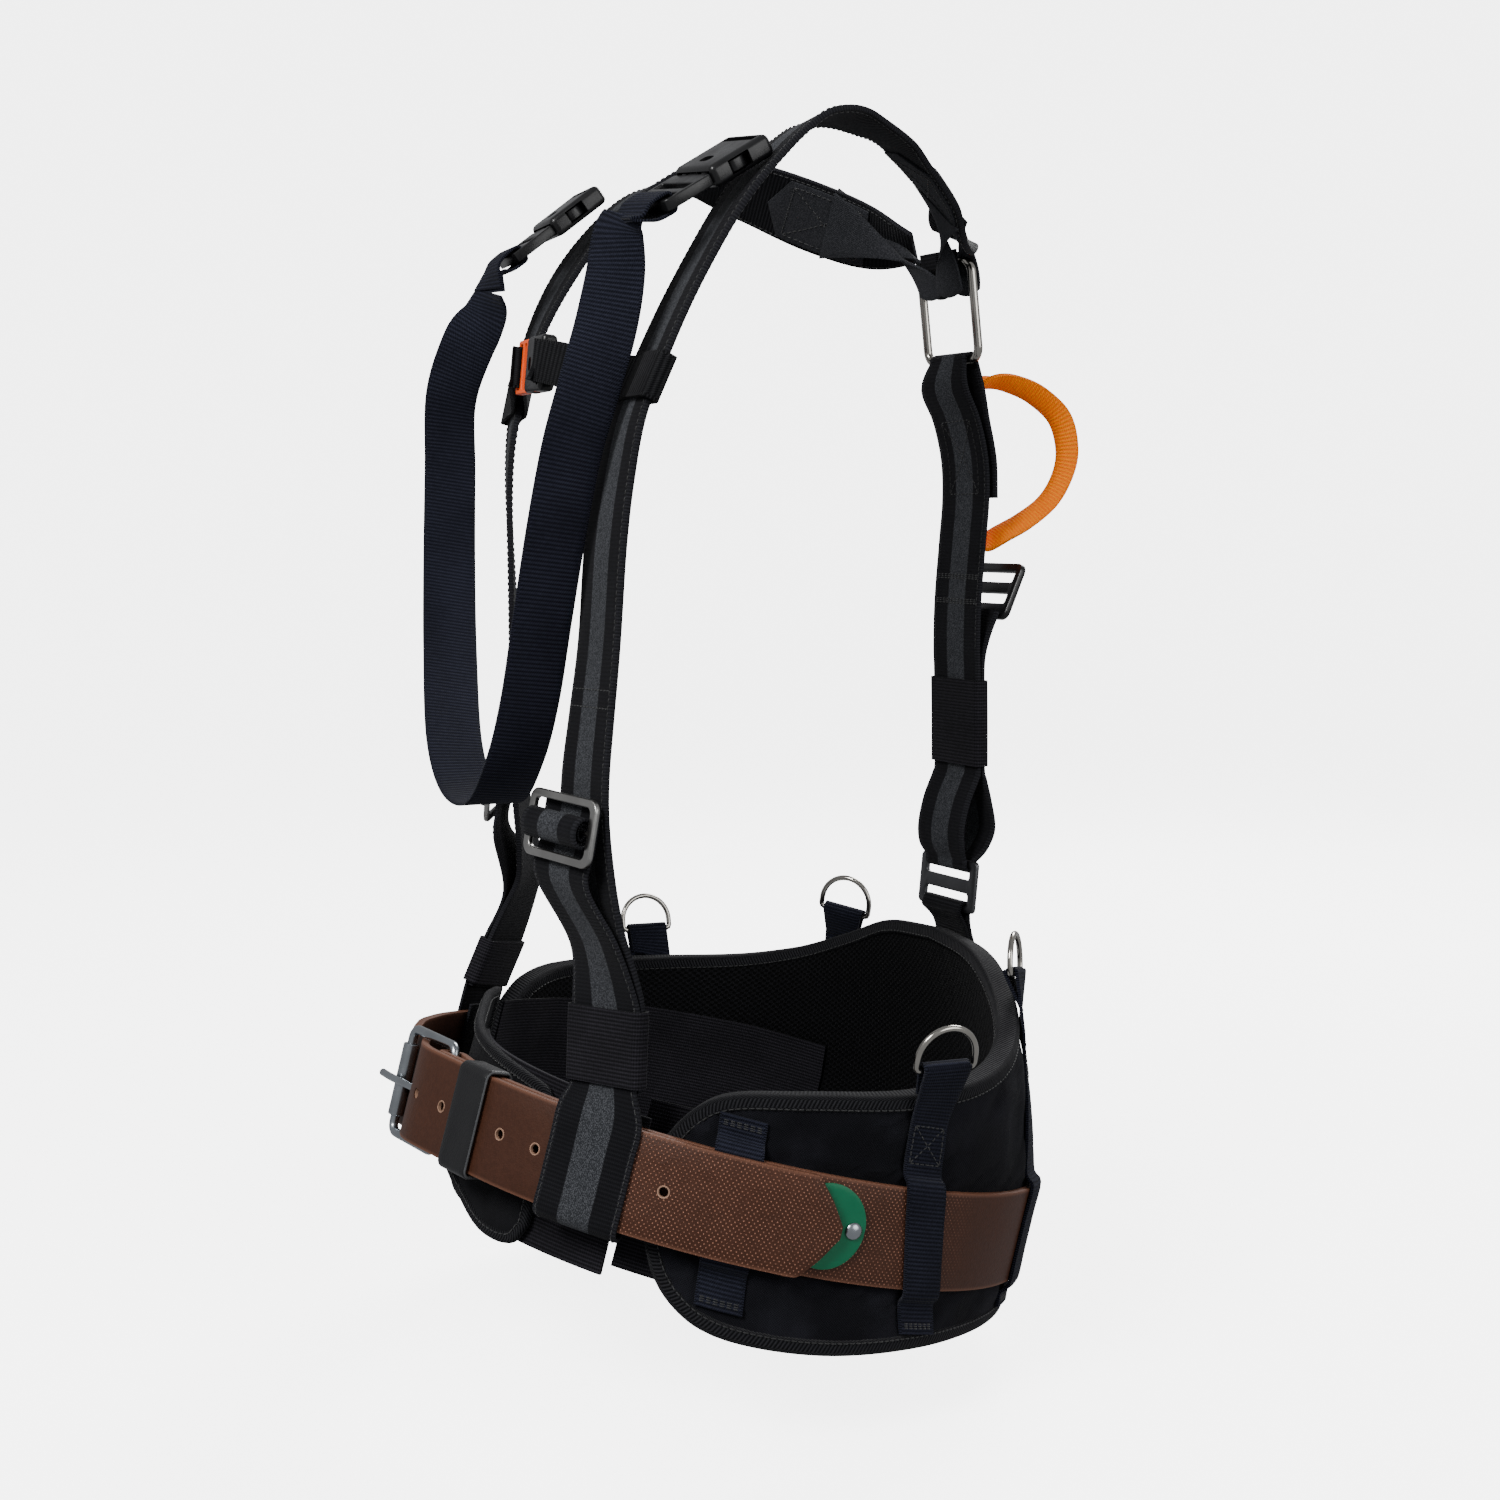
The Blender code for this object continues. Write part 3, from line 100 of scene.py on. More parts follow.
PAD_TOP = [(52, 0.018), (56, 0.038), (62, 0.051), (75, 0.061), (90, 0.070), (110, 0.085),
           (125, 0.101), (140, 0.120), (156, 0.136), (180, 0.141)]
PAD_BOTTOM = [(52, -0.018), (56, -0.042), (62, -0.057), (70, -0.063), (85, -0.062),
              (105, -0.055), (125, -0.049), (150, -0.045), (180, -0.044)]


# ---- camera, floor and light ----

VIEW_AIM = Vector((0, 0, 0.217))
VIEW_AZIMUTH = math.radians(66)
VIEW_PITCH = math.radians(6)
VIEW_DISTANCE = 1.205
VIEW_LENS = 52.2


def add_camera():
    back = Vector((math.sin(VIEW_AZIMUTH) * math.cos(VIEW_PITCH),
                   -math.cos(VIEW_AZIMUTH) * math.cos(VIEW_PITCH), math.sin(VIEW_PITCH)))
    camera = bpy.data.objects.new("camera", bpy.data.cameras.new("camera"))
    camera.data.lens = VIEW_LENS
    camera.data.clip_start = 0.01
    camera.location = VIEW_AIM + back * VIEW_DISTANCE
    camera.rotation_euler = (-back).to_track_quat("-Z", "Y").to_euler()
    bpy.context.scene.collection.objects.link(camera)
    bpy.context.scene.camera = camera


def add_light(name, place, aim, size, power):
    lamp = bpy.data.lights.new(name, "AREA")
    lamp.shape = "DISK"
    lamp.size = size
    lamp.energy = power
    light = bpy.data.objects.new(name, lamp)
    light.location = place
    light.rotation_euler = (Vector(aim) - Vector(place)).to_track_quat("-Z", "Y").to_euler()
    bpy.context.scene.collection.objects.link(light)


def add_studio():
    world = bpy.data.worlds.new("studio")
    world.use_nodes = True
    sky = world.node_tree.nodes["Background"]
    sky.inputs["Color"].default_value = (0.96, 0.97, 1.0, 1)
    sky.inputs["Strength"].default_value = 0.42
    bpy.context.scene.world = world
    aim = (0, 0, 0.2)
    add_light("key", (1.0, -1.6, 1.7), aim, 1.0, 62)
    add_light("fill", (1.9, 0.9, 0.9), aim, 1.6, 20)
    add_light("rim", (-1.2, 1.4, 1.6), aim, 1.0, 44)
    pale = Look("pale_floor", (0.92, 0.92, 0.92), 0.9, Specular_IOR_Level=0.1,
                Emission_Color=(1, 1, 1, 1), Emission_Strength=4.5)
    pale.tint(pale.noise(3, 2), (0.91, 0.91, 0.91), (0.93, 0.93, 0.93))
    profile = [Vector(point) for point in ((0.0004, 0), (1.5, 0), (3.0, 0.0), (3.8, 0.3),
                                           (4.2, 1.1), (4.3, 2.2), (4.3, 4.4))]
    curve = [(point.x, point.y) for point in through(profile, 6)]
    rings = [[Vector((r * math.cos(turn), r * math.sin(turn), z + CAD_BOX[0][2] - 0.02))
              for turn in spread(0, math.tau * 95 / 96, 96)] for r, z in curve]
    floor = grid("floor", rings, pale.material, wrap_across=True)
    floor.visible_diffuse = False
    floor.visible_glossy = False


# ---- materials ----

class Look:
    """A procedural material: sockets of its nodes, in metres along the piece or in space."""

    def __init__(self, name, colour, roughness, metallic=0.0, **sockets):
        self.material = bpy.data.materials.new(name)
        self.material.use_nodes = True
        self.tree = self.material.node_tree
        self.shader = self.tree.nodes["Principled BSDF"]
        self.put("Base Color", (*colour, 1))
        self.put("Roughness", roughness)
        self.put("Metallic", metallic)
        for socket, value in sockets.items():
            self.put(socket.replace("_", " "), value)
        self.cloth_uv = None

    def put(self, socket, value):
        self.shader.inputs[socket].default_value = value

    def node(self, kind, *inputs):
        made = self.tree.nodes.new(kind)
        for socket, value in zip(made.inputs, inputs):
            if isinstance(value, bpy.types.NodeSocket):
                self.tree.links.new(value, socket)
            elif value is not None:
                socket.default_value = value
        return made

    def math(self, operation, first, second=0.0, third=0.0):
        made = self.node("ShaderNodeMath", first, second, third)
        made.operation = operation
        return made.outputs[0]

    def uv(self):
        """Sockets of the distance across and along the piece."""
        if self.cloth_uv is None:
            split = self.node("ShaderNodeSeparateXYZ", self.node("ShaderNodeUVMap").outputs[0])
            self.cloth_uv = split.outputs[0], split.outputs[1]
        return self.cloth_uv

    def space(self):
        return self.node("ShaderNodeTexCoord").outputs["Object"]

    def noise(self, scale, detail=3.0, stretch=(1, 1, 1)):
        mapping = self.node("ShaderNodeMapping", self.space())
        mapping.inputs["Scale"].default_value = stretch
        made = self.node("ShaderNodeTexNoise", mapping.outputs[0])
        made.inputs["Scale"].default_value = scale
        made.inputs["Detail"].default_value = detail
        return made.outputs[0]

    def cells(self, scale, feature="F1"):
        made = self.node("ShaderNodeTexVoronoi", self.space())
        made.feature = feature
        made.inputs["Scale"].default_value = scale
        return made.outputs[0]

    def wave(self, distance, pitch, shift=0.0):
        """0 to 1 and back, once each pitch."""
        turn = self.math("MULTIPLY_ADD", distance, math.tau / pitch, shift)
        return self.math("MULTIPLY_ADD", self.math("SINE", turn), 0.5, 0.5)

    def ramp(self, value, low, high, to_low=0.0, to_high=1.0):
        made = self.node("ShaderNodeMapRange", value, low, high, to_low, to_high)
        made.interpolation_type = "SMOOTHSTEP"
        return made.outputs[0]

    def mix(self, share, first, second):
        made = self.tree.nodes.new("ShaderNodeMix")
        made.data_type = "RGBA"
        for socket, value in ((made.inputs[0], share), (made.inputs[6], first),
                              (made.inputs[7], second)):
            if isinstance(value, bpy.types.NodeSocket):
                self.tree.links.new(value, socket)
            else:
                socket.default_value = (*value, 1) if isinstance(value, tuple) else value
        return made.outputs[2]

    def tint(self, share, first, second):
        colour = self.mix(share, first, second)
        self.paint(colour)
        return colour

    def paint(self, colour):
        self.tree.links.new(colour, self.shader.inputs["Base Color"])

    def gloss(self, value, low, high):
        self.tree.links.new(self.ramp(value, 0.0, 1.0, low, high), self.shader.inputs["Roughness"])

    def bump(self, height, distance, strength=1.0):
        made = self.tree.nodes.new("ShaderNodeBump")
        made.inputs["Strength"].default_value = strength
        made.inputs["Distance"].default_value = distance
        self.tree.links.new(height, made.inputs["Height"])
        self.tree.links.new(made.outputs[0], self.shader.inputs["Normal"])


LOOKS = {}


def look(make):
    """Each look is made once, under its function's name and arguments."""
    def once(*arguments):
        key = (make.__name__, arguments)
        if key not in LOOKS:
            LOOKS[key] = make(*arguments).material
        return LOOKS[key]
    return once


def ribs(made, pitch, yarn=0.0011):
    """Height of ribs across a webbing, each of twisted yarns side by side."""
    across, along = made.uv()
    rib = made.wave(along, pitch)
    lean = made.math("MULTIPLY_ADD", along, math.tau / pitch, 0.0)
    turn = made.math("ADD", made.math("MULTIPLY", across, math.tau / yarn), lean)
    twist = made.math("MULTIPLY_ADD", made.math("SINE", turn), 0.5, 0.5)
    return made.math("MULTIPLY_ADD", twist, 0.35, made.math("MULTIPLY", rib, 0.65))


def edge_share(made, half, border):
    """1 within the border of the piece's edges, and 0 between them."""
    across, _ = made.uv()
    return made.ramp(made.math("ABSOLUTE", across), half - border, half - border * 0.8)


@look
def ribbed(name, dark, light, pitch, half, border, lengthwise=False):
    """Webbing with ribs across and a knitted selvedge, or elastic with ribs along it."""
    made = Look(name, light, 0.8, Sheen_Weight=0.04, Sheen_Roughness=0.4,
                Specular_IOR_Level=0.05)
    height = ribs(made, pitch)
    across, along = made.uv()
    if lengthwise:
        height = made.math("MULTIPLY_ADD", made.wave(along, 0.0012), 0.3,
                           made.math("MULTIPLY", made.wave(across, pitch), 0.7))
    selvedge = made.wave(along, pitch * 0.55)
    border_share = edge_share(made, half, border)
    height = made.math("ADD", made.math("MULTIPLY", height, made.math("SUBTRACT", 1, border_share)),
                       made.math("MULTIPLY", selvedge, border_share))
    fuzz = made.noise(900, 2)
    worn = made.math("MULTIPLY_ADD", made.noise(38, 3), 0.5, made.math("MULTIPLY", fuzz, 0.5))
    # Painted shade: the colour is darker in the grooves between the ribs and selvedge loops,
    # lighter on their crests, and varied by random wear.
    share = made.math("MULTIPLY", height, made.ramp(worn, 0.3, 0.7, 0.45, 1.0))
    made.tint(share, dark, light)
    made.gloss(worn, 0.62, 0.92)
    made.bump(made.math("MULTIPLY_ADD", fuzz, 0.18, height), 0.00045, 0.9)
    return made


@look
def striped(name, base, grey, half):
    """Strap webbing with a woven reflective stripe down the middle third."""
    made = Look(name, base, 0.8, Sheen_Weight=0.03, Sheen_Roughness=0.5,
                Specular_IOR_Level=0.05)
    across, along = made.uv()
    height = ribs(made, 0.0021)
    distance = made.math("ABSOLUTE", across)
    stripe = made.math("SUBTRACT", 1, made.ramp(distance, half * 0.36, half * 0.39))
    twill = made.wave(made.math("ADD", along, across), 0.0013)
    glints = made.ramp(made.noise(1500, 1), 0.42, 0.62)
    speckle = made.math("MULTIPLY", glints, made.math("MULTIPLY_ADD", twill, 0.5, 0.5))
    ribbon = made.mix(made.math("MULTIPLY_ADD", speckle, 0.75, 0.15), (0.010, 0.011, 0.013), grey)
    # Painted shade: the cloth beside the stripe is darker in the grooves between the ribs and
    # lighter on their crests, varied at random.
    cloth = made.mix(made.math("MULTIPLY", height, made.noise(60, 3)), (0.004, 0.004, 0.005),
                     tuple(part * 1.7 for part in base))
    knit = made.wave(along, 0.0016)
    edge = edge_share(made, half, 0.0032)
    cloth = made.mix(made.math("MULTIPLY", edge, knit), cloth, tuple(part * 2.2 for part in base))
    made.paint(made.mix(stripe, cloth, ribbon))
    made.gloss(made.noise(45, 3), 0.6, 0.9)
    relief = made.math("ADD", made.math("MULTIPLY", height, made.math("SUBTRACT", 1, stripe)),
                       made.math("MULTIPLY", twill, made.math("MULTIPLY", stripe, 0.4)))
    made.bump(relief, 0.0004, 0.8)
    return made


@look
def woven(name, dark, light, pitch, patches):
    """Plain heavy fabric, worn unevenly, with painted shade between the raised yarns of its weave.
    """
    made = Look(name, light, 0.85, Sheen_Weight=0.03, Sheen_Roughness=0.5,
                Specular_IOR_Level=0.04)
    across, along = made.uv()
    weave = made.math("MULTIPLY", made.wave(across, pitch), made.wave(along, pitch))
    other = made.math("MULTIPLY", made.wave(across, pitch, math.pi),
                      made.wave(along, pitch, math.pi))
    height = made.math("ADD", weave, other)
    worn = made.ramp(made.noise(patches, 4), 0.35, 0.65)
    # The colour mixes random wear with painted shade: darker between the raised yarns of the weave
    # and lighter on them.
    made.tint(made.math("MULTIPLY_ADD", worn, 0.55, made.math("MULTIPLY", height, 0.45)),
              dark, light)
    made.gloss(worn, 0.75, 0.95)
    made.bump(made.math("MULTIPLY_ADD", made.noise(700, 2), 0.3, height), 0.0003, 0.9)
    return made


@look
def herringbone(name, dark, light):
    """Binding tape: twill that turns back at its middle."""
    made = Look(name, light, 0.8, Sheen_Weight=0.04, Sheen_Roughness=0.45,
                Specular_IOR_Level=0.05)
    across, along = made.uv()
    twill = made.wave(made.math("ADD", along, made.math("ABSOLUTE", across)), 0.0019)
    fuzz = made.noise(1100, 2)
    # Painted shade: the colour is darker in the grooves of the twill and lighter on its ridges,
    # varied at random.
    made.tint(made.math("MULTIPLY", twill, made.math("MULTIPLY_ADD", fuzz, 0.7, 0.4)), dark, light)
    made.gloss(made.noise(50), 0.65, 0.9)
    made.bump(made.math("MULTIPLY_ADD", fuzz, 0.2, twill), 0.0004, 0.9)
    return made


@look
def spacer_mesh():
    """Knitted spacer fabric: rows of small holes over a dark core, painted near black for that core
    and for the painted shade inside them.
    """
    made = Look("spacer_mesh", (0.02, 0.02, 0.022), 0.88, Sheen_Weight=0.02, Sheen_Roughness=0.5,
                Specular_IOR_Level=0.03)
    across, along = made.uv()
    pitch = 0.0034
    first = made.math("MULTIPLY", made.wave(across, pitch), made.wave(along, pitch * 1.5))
    second = made.math("MULTIPLY", made.wave(across, pitch, math.pi),
                       made.wave(along, pitch * 1.5, math.pi))
    holes = made.ramp(made.math("ADD", first, second), 0.42, 0.72)
    knit = made.wave(along, 0.0009)
    cord = made.mix(made.math("MULTIPLY", knit, made.noise(500, 2)), (0.003, 0.003, 0.0035),
                    (0.017, 0.017, 0.019))
    # The holes are painted near black: partly the dark core, partly painted shade inside them.
    made.paint(made.mix(holes, cord, (0.002, 0.002, 0.002)))
    made.gloss(made.noise(60), 0.75, 0.95)
    made.bump(made.math("MULTIPLY_ADD", knit, 0.12, made.math("SUBTRACT", 1, holes)), 0.0009, 1.0)
    return made


@look
def hook_face():
    made = Look("hook_face", (0.012, 0.012, 0.013), 0.9, Specular_IOR_Level=0.1)
    dots = made.cells(620)
    # Painted shade: the colour is lighter on the raised hooks and darker in the gaps between them.
    made.tint(made.ramp(dots, 0.1, 0.6), (0.014, 0.014, 0.015), (0.0015, 0.0015, 0.0015))
    made.gloss(made.noise(40), 0.7, 0.95)
    made.bump(made.math("SUBTRACT", 1, dots), 0.0007, 1.0)
    return made


@look
def brown_leather():
    """Belt leather, smooth by the buckle and embossed with fine woven rows towards the tip."""
    made = Look("brown_leather", (0.11, 0.04, 0.02), 0.5, Specular_IOR_Level=0.22)
    across, along = made.uv()
    grain = made.cells(900)
    mottle = made.noise(26, 5)
    fine = made.noise(420, 3)
    rows = made.wave(across, 0.0030)
    dashes = made.wave(along, 0.0026)
    offset = made.wave(along, 0.0026, math.pi)
    dots = made.math("ADD", made.math("MULTIPLY", rows, dashes),
                     made.math("MULTIPLY", made.math("SUBTRACT", 1, rows), offset))
    dots = made.ramp(dots, 0.72, 0.97)
    part = made.math("ADD", made.ramp(along, EMBOSS_START - 0.006, EMBOSS_START + 0.006),
                     made.math("SUBTRACT", made.ramp(along, 0.150, 0.165),
                               made.ramp(along, 0.320, 0.370)))
    embossed = made.math("MULTIPLY", dots, part)
    brown = made.mix(mottle, (0.036, 0.0125, 0.0062), (0.064, 0.0225, 0.0115))
    brown = made.mix(made.ramp(fine, 0.3, 0.7, 0.0, 0.35), brown, (0.026, 0.009, 0.0045))
    pale = made.math("MULTIPLY", embossed, made.ramp(made.noise(240, 2), 0.3, 0.6, 0.35, 0.95))
    brown = made.mix(pale, brown, (0.30, 0.135, 0.085))
    edge = made.ramp(made.math("ABSOLUTE", across), BELT_WIDTH / 2 - 0.0022, BELT_WIDTH / 2)
    made.paint(made.mix(made.math("MULTIPLY", edge, 0.7), brown, (0.16, 0.068, 0.040)))
    made.gloss(mottle, 0.42, 0.62)
    relief = made.math("MULTIPLY_ADD", embossed, 1.0, made.math("MULTIPLY", grain, 0.35))
    made.bump(made.math("MULTIPLY_ADD", fine, 0.3, relief), 0.00035, 0.8)
    return made


@look
def raw_leather(name, colour):
    """Cut edge of leather, burnished unevenly."""
    made = Look(name, colour, 0.7)
    fibre = made.noise(700, 4)
    made.tint(fibre, tuple(part * 0.55 for part in colour), tuple(part * 1.35 for part in colour))
    made.gloss(fibre, 0.55, 0.85)
    made.bump(fibre, 0.0003, 0.6)
    return made


@look
def black_leather():
    made = Look("black_leather", (0.006, 0.006, 0.007), 0.38, Specular_IOR_Level=0.3)
    grain = made.cells(1100)
    mottle = made.noise(40, 4)
    made.tint(mottle, (0.004, 0.004, 0.005), (0.012, 0.012, 0.013))
    made.gloss(mottle, 0.30, 0.52)
    made.bump(made.math("MULTIPLY_ADD", made.noise(350), 0.5, grain), 0.0002, 0.6)
    return made


@look
def metal(name, colour, low, high, stretch):
    """Plated or polished metal with fine drawn scratches and a little staining."""
    made = Look(name, colour, 0.3, 1.0)
    scratches = made.noise(60, 5, stretch)
    stains = made.noise(55, 4)
    made.tint(made.ramp(stains, 0.35, 0.75), tuple(part * 0.78 for part in colour), colour)
    made.gloss(made.math("MULTIPLY_ADD", scratches, 0.6, made.math("MULTIPLY", stains, 0.4)),
               low, high)
    made.bump(scratches, 0.00006, 0.5)
    return made


@look
def moulded(name, colour, low, high):
    """Moulded plastic with a fine skin and slight sink marks."""
    made = Look(name, colour, 0.4, Specular_IOR_Level=0.35)
    skin = made.noise(2200, 2)
    sink = made.noise(120, 2)
    made.tint(made.math("MULTIPLY_ADD", skin, 0.5, made.math("MULTIPLY", sink, 0.5)),
              tuple(part * 0.8 for part in colour), tuple(min(1, part * 1.15) for part in colour))
    made.gloss(sink, low, high)
    made.bump(made.math("MULTIPLY_ADD", sink, 2.0, skin), 0.00006, 0.5)
    return made


@look
def thread(name, colour):
    made = Look(name, colour, 0.6, Sheen_Weight=0.2)
    ply = made.noise(3000, 1)
    made.tint(ply, tuple(part * 0.6 for part in colour), tuple(part * 1.4 for part in colour))
    made.gloss(ply, 0.5, 0.8)
    made.bump(ply, 0.00015, 0.6)
    return made


# ---- shape helpers ----

def through(values, steps, closed=False):
    """Points on a smooth curve through the given ones, with steps to each span."""
    count = len(values)
    found = []
    for i in range(count if closed else count - 1):
        if closed:
            before, start, end, after = (values[(i + k) % count] for k in (-1, 0, 1, 2))
        else:
            start, end = values[i], values[i + 1]
            before = values[i - 1] if i else start * 2 - end
            after = values[i + 2] if i + 2 < count else end * 2 - start
        for step in range(steps):
            t = step / steps
            found.append((start * 2 + (end - before) * t
                          + (before * 2 - start * 5 + end * 4 - after) * t ** 2
                          + (start * 3 - before - end * 3 + after) * t ** 3) * 0.5)
    return found if closed else found + [values[-1].copy()]


def smooth_rows(rows, steps, closed=False):
    """Rows of points with smooth curves through each column."""
    columns = [through(list(column), steps, closed) for column in zip(*rows)]
    return [list(row) for row in zip(*columns)]


def spread(start, end, count):
    return [start + (end - start) * i / (count - 1) for i in range(count)]


def across_rows(rows, count):
    """Each row cut into count points between its own, with even spacing."""
    found = []
    for row in rows:
        cut = []
        for share in spread(0, len(row) - 1, count):
            i = min(int(share), len(row) - 2)
            cut.append(row[i].lerp(row[i + 1], share - i))
        found.append(cut)
    return found


def frame_at(origin, along, up):
    """Matrix whose X is along, Z close to up, and Y into the page, so -Y is outward."""
    x = Vector(along).normalized()
    y = Vector(up).cross(x).normalized()
    turn = Matrix((x, y, x.cross(y))).transposed().to_4x4()
    return Matrix.Translation(origin) @ turn


def place_on(origin, across, up):
    """Matrix at the origin whose Z is exactly up, X near across, and -Y outward."""
    z = Vector(up).normalized()
    x = (Vector(across) - z * z.dot(Vector(across))).normalized()
    turn = Matrix((x, z.cross(x), z)).transposed().to_4x4()
    return Matrix.Translation(origin) @ turn


def heading(degrees, dip=0.0):
    turn = math.radians(degrees)
    return Vector((math.cos(turn), math.sin(turn), dip))


def rounded(width, height, radius, x=0.0, z=0.0, corner=6):
    """Outline of a rounded rectangle about x, z."""
    points = []
    for quarter, (sx, sz) in enumerate(((1, 1), (-1, 1), (-1, -1), (1, -1))):
        for step in range(corner + 1):
            turn = math.pi / 2 * (quarter + step / corner)
            points.append((x + sx * (width / 2 - radius) + radius * math.cos(turn),
                           z + sz * (height / 2 - radius) + radius * math.sin(turn)))
    return points


class Surface:
    """A grid of points along a piece and across it, found by distance in metres."""

    def __init__(self, rows, width, face=1):
        self.rows = rows
        self.width = width
        self.face = face
        middle = len(rows[0]) // 2
        self.lengths = [0.0]
        for first, second in zip(rows, rows[1:]):
            self.lengths.append(self.lengths[-1] + (second[middle] - first[middle]).length)

    @property
    def length(self):
        return self.lengths[-1]

    def spot(self, across, along, lift=0.0):
        """The point and the outward normal there."""
        i = min(max(bisect.bisect_right(self.lengths, along) - 1, 0), len(self.rows) - 2)
        share = (along - self.lengths[i]) / (self.lengths[i + 1] - self.lengths[i])
        column = (across / self.width + 0.5) * (len(self.rows[0]) - 1)
        j = min(max(int(column), 0), len(self.rows[0]) - 2)
        low = self.rows[i][j].lerp(self.rows[i][j + 1], column - j)
        high = self.rows[i + 1][j].lerp(self.rows[i + 1][j + 1], column - j)
        normal = (self.rows[i][j + 1] - self.rows[i][j]).cross(high - low).normalized() * self.face
        return low.lerp(high, share) + normal * lift, normal

    def patch(self, across, along, lift, columns=7, rows=16):
        """Rows of points over part of the surface, at a lift."""
        return [[self.spot(u, v, lift)[0] for u in spread(*across, columns)]
                for v in spread(*along, rows)]


def settle(obj, sharp_angle=38):
    """Makes the modifiers' result the mesh itself, shaded smooth up to an angle."""
    graph = bpy.context.evaluated_depsgraph_get()
    mesh = bpy.data.meshes.new_from_object(obj.evaluated_get(graph),
                                           preserve_all_data_layers=True, depsgraph=graph)
    old = obj.data
    obj.modifiers.clear()
    obj.data = mesh
    mesh.shade_smooth()
    mesh.set_sharp_from_angle(angle=math.radians(sharp_angle))
    if old.users == 0:
        bpy.data.meshes.remove(old)
    return obj


def link(name, mesh, looks):
    obj = bpy.data.objects.new(name, mesh)
    for each in looks if isinstance(looks, (list, tuple)) else [looks]:
        mesh.materials.append(each)
    bpy.context.scene.collection.objects.link(obj)
    return obj


def grid(name, rows, looks, width=None, wrap_along=False, wrap_across=False):
    """A sheet of quads over rows of points, with a UV map in metres across and along."""
    shape = bmesh.new()
    layer = shape.loops.layers.uv.new("UVMap")
    points = [[shape.verts.new(point) for point in row] for row in rows]
    count = len(rows[0])
    middle = count // 2
    widths = [width or sum((b - a).length for a, b in zip(row, row[1:])) for row in rows]
    steps = count if wrap_across else count - 1
    across = [j / steps - 0.5 for j in range(count + 1)]
    along = [0.0]
    for first, second in zip(rows, rows[1:] + rows[:1]):
        along.append(along[-1] + (second[middle] - first[middle]).length)
    for i in range(len(rows) if wrap_along else len(rows) - 1):
        for j in range(steps):
            after, beside = (i + 1) % len(rows), (j + 1) % count
            face = shape.faces.new((points[i][j], points[i][beside],
                                    points[after][beside], points[after][j]))
            face.smooth = True
            corners = ((across[j] * widths[i], along[i]), (across[j + 1] * widths[i], along[i]),
                       (across[j + 1] * widths[after], along[i + 1]),
                       (across[j] * widths[after], along[i + 1]))
            for loop, corner in zip(face.loops, corners):
                loop[layer].uv = corner
    mesh = bpy.data.meshes.new(name)
    shape.to_mesh(mesh)
    shape.free()
    return link(name, mesh, looks)


def ride(obj, body, slot, *nodes):
    if nodes:
        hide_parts(*nodes)
    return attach(obj, body)


def thicken(obj, thickness, bevel=0.0):
    """Gives a sheet its thickness, with rounded edges; a second look goes on its back."""
    solid = obj.modifiers.new("thickness", "SOLIDIFY")
    solid.thickness = thickness
    solid.offset = 0
    if len(obj.data.materials) > 1:
        solid.material_offset = 1
    if bevel:
        edge = obj.modifiers.new("edge", "BEVEL")
        edge.width = bevel
        edge.segments = 2
        edge.limit_method = "ANGLE"
        edge.angle_limit = math.radians(60)
    return settle(obj)


def band(name, rows, thickness, looks, width=None, closed=False, bevel=0.0):
    return thicken(grid(name, rows, looks, width, wrap_along=closed), thickness, bevel)


def clean(mesh, merge=0.0, cap=False):
    """Merges a mesh's doubled points, caps its open ends, and turns its faces outward."""
    shape = bmesh.new()
    shape.from_mesh(mesh)
    if cap:
        bmesh.ops.holes_fill(shape, edges=[e for e in shape.edges if e.is_boundary], sides=0)
    if merge:
        bmesh.ops.remove_doubles(shape, verts=shape.verts, dist=merge)
    bmesh.ops.recalc_face_normals(shape, faces=shape.faces)
    shape.to_mesh(mesh)
    shape.free()


def shell(name, rings, look_of, closed=False):
    """A closed skin through closed rings of points, capped at its ends or run round."""
    obj = grid(name, rings, look_of, wrap_along=closed, wrap_across=True)
    clean(obj.data, cap=not closed)
    return settle(obj)


def bar(name, points, radius, look_of, closed=False, sides=7):
    """A round wire along the points, as a welded mesh."""
    curve = bpy.data.curves.new(name, "CURVE")
    curve.dimensions = "3D"
    curve.bevel_depth = radius
    curve.bevel_resolution = sides
    curve.use_fill_caps = True
    curve.twist_mode = "MINIMUM"
    spline = curve.splines.new("POLY")
    spline.points.add(len(points) - 1)
    for slot, point in zip(spline.points, points):
        slot.co = (*point, 1)
    spline.use_cyclic_u = closed
    spline.use_smooth = True
    return weld(link(name, curve, look_of))


def weld(obj, sharp_angle=38):
    """Replaces a curve object by its welded mesh."""
    bpy.context.view_layer.update()
    graph = bpy.context.evaluated_depsgraph_get()
    mesh = bpy.data.meshes.new_from_object(obj.evaluated_get(graph))
    mesh.transform(obj.matrix_world)
    clean(mesh, 0.000001)
    name = obj.name
    bpy.data.objects.remove(obj, do_unlink=True)
    made = bpy.data.objects.new(name, mesh)
    mesh.shade_smooth()
    mesh.set_sharp_from_angle(angle=math.radians(sharp_angle))
    bpy.context.scene.collection.objects.link(made)
    return made


def plate(name, outlines, thickness, place, look_of, bevel=0.0):
    """A flat plate in the XZ plane of the place matrix, from an outline and the windows in it."""
    curve = bpy.data.curves.new(name, "CURVE")
    curve.dimensions = "2D"
    curve.fill_mode = "BOTH"
    curve.extrude = thickness / 2 - bevel
    curve.bevel_depth = bevel
    curve.bevel_resolution = 2 if bevel else 0
    curve.offset = -bevel
    for points in outlines:
        spline = curve.splines.new("POLY")
        spline.points.add(len(points) - 1)
        for slot, (x, z) in zip(spline.points, points):
            slot.co = (x, z, 0, 1)
        spline.use_cyclic_u = True
    obj = link(name, curve, look_of)
    obj.matrix_world = place @ Matrix.Rotation(math.pi / 2, 4, "X")
    return weld(obj, 30)


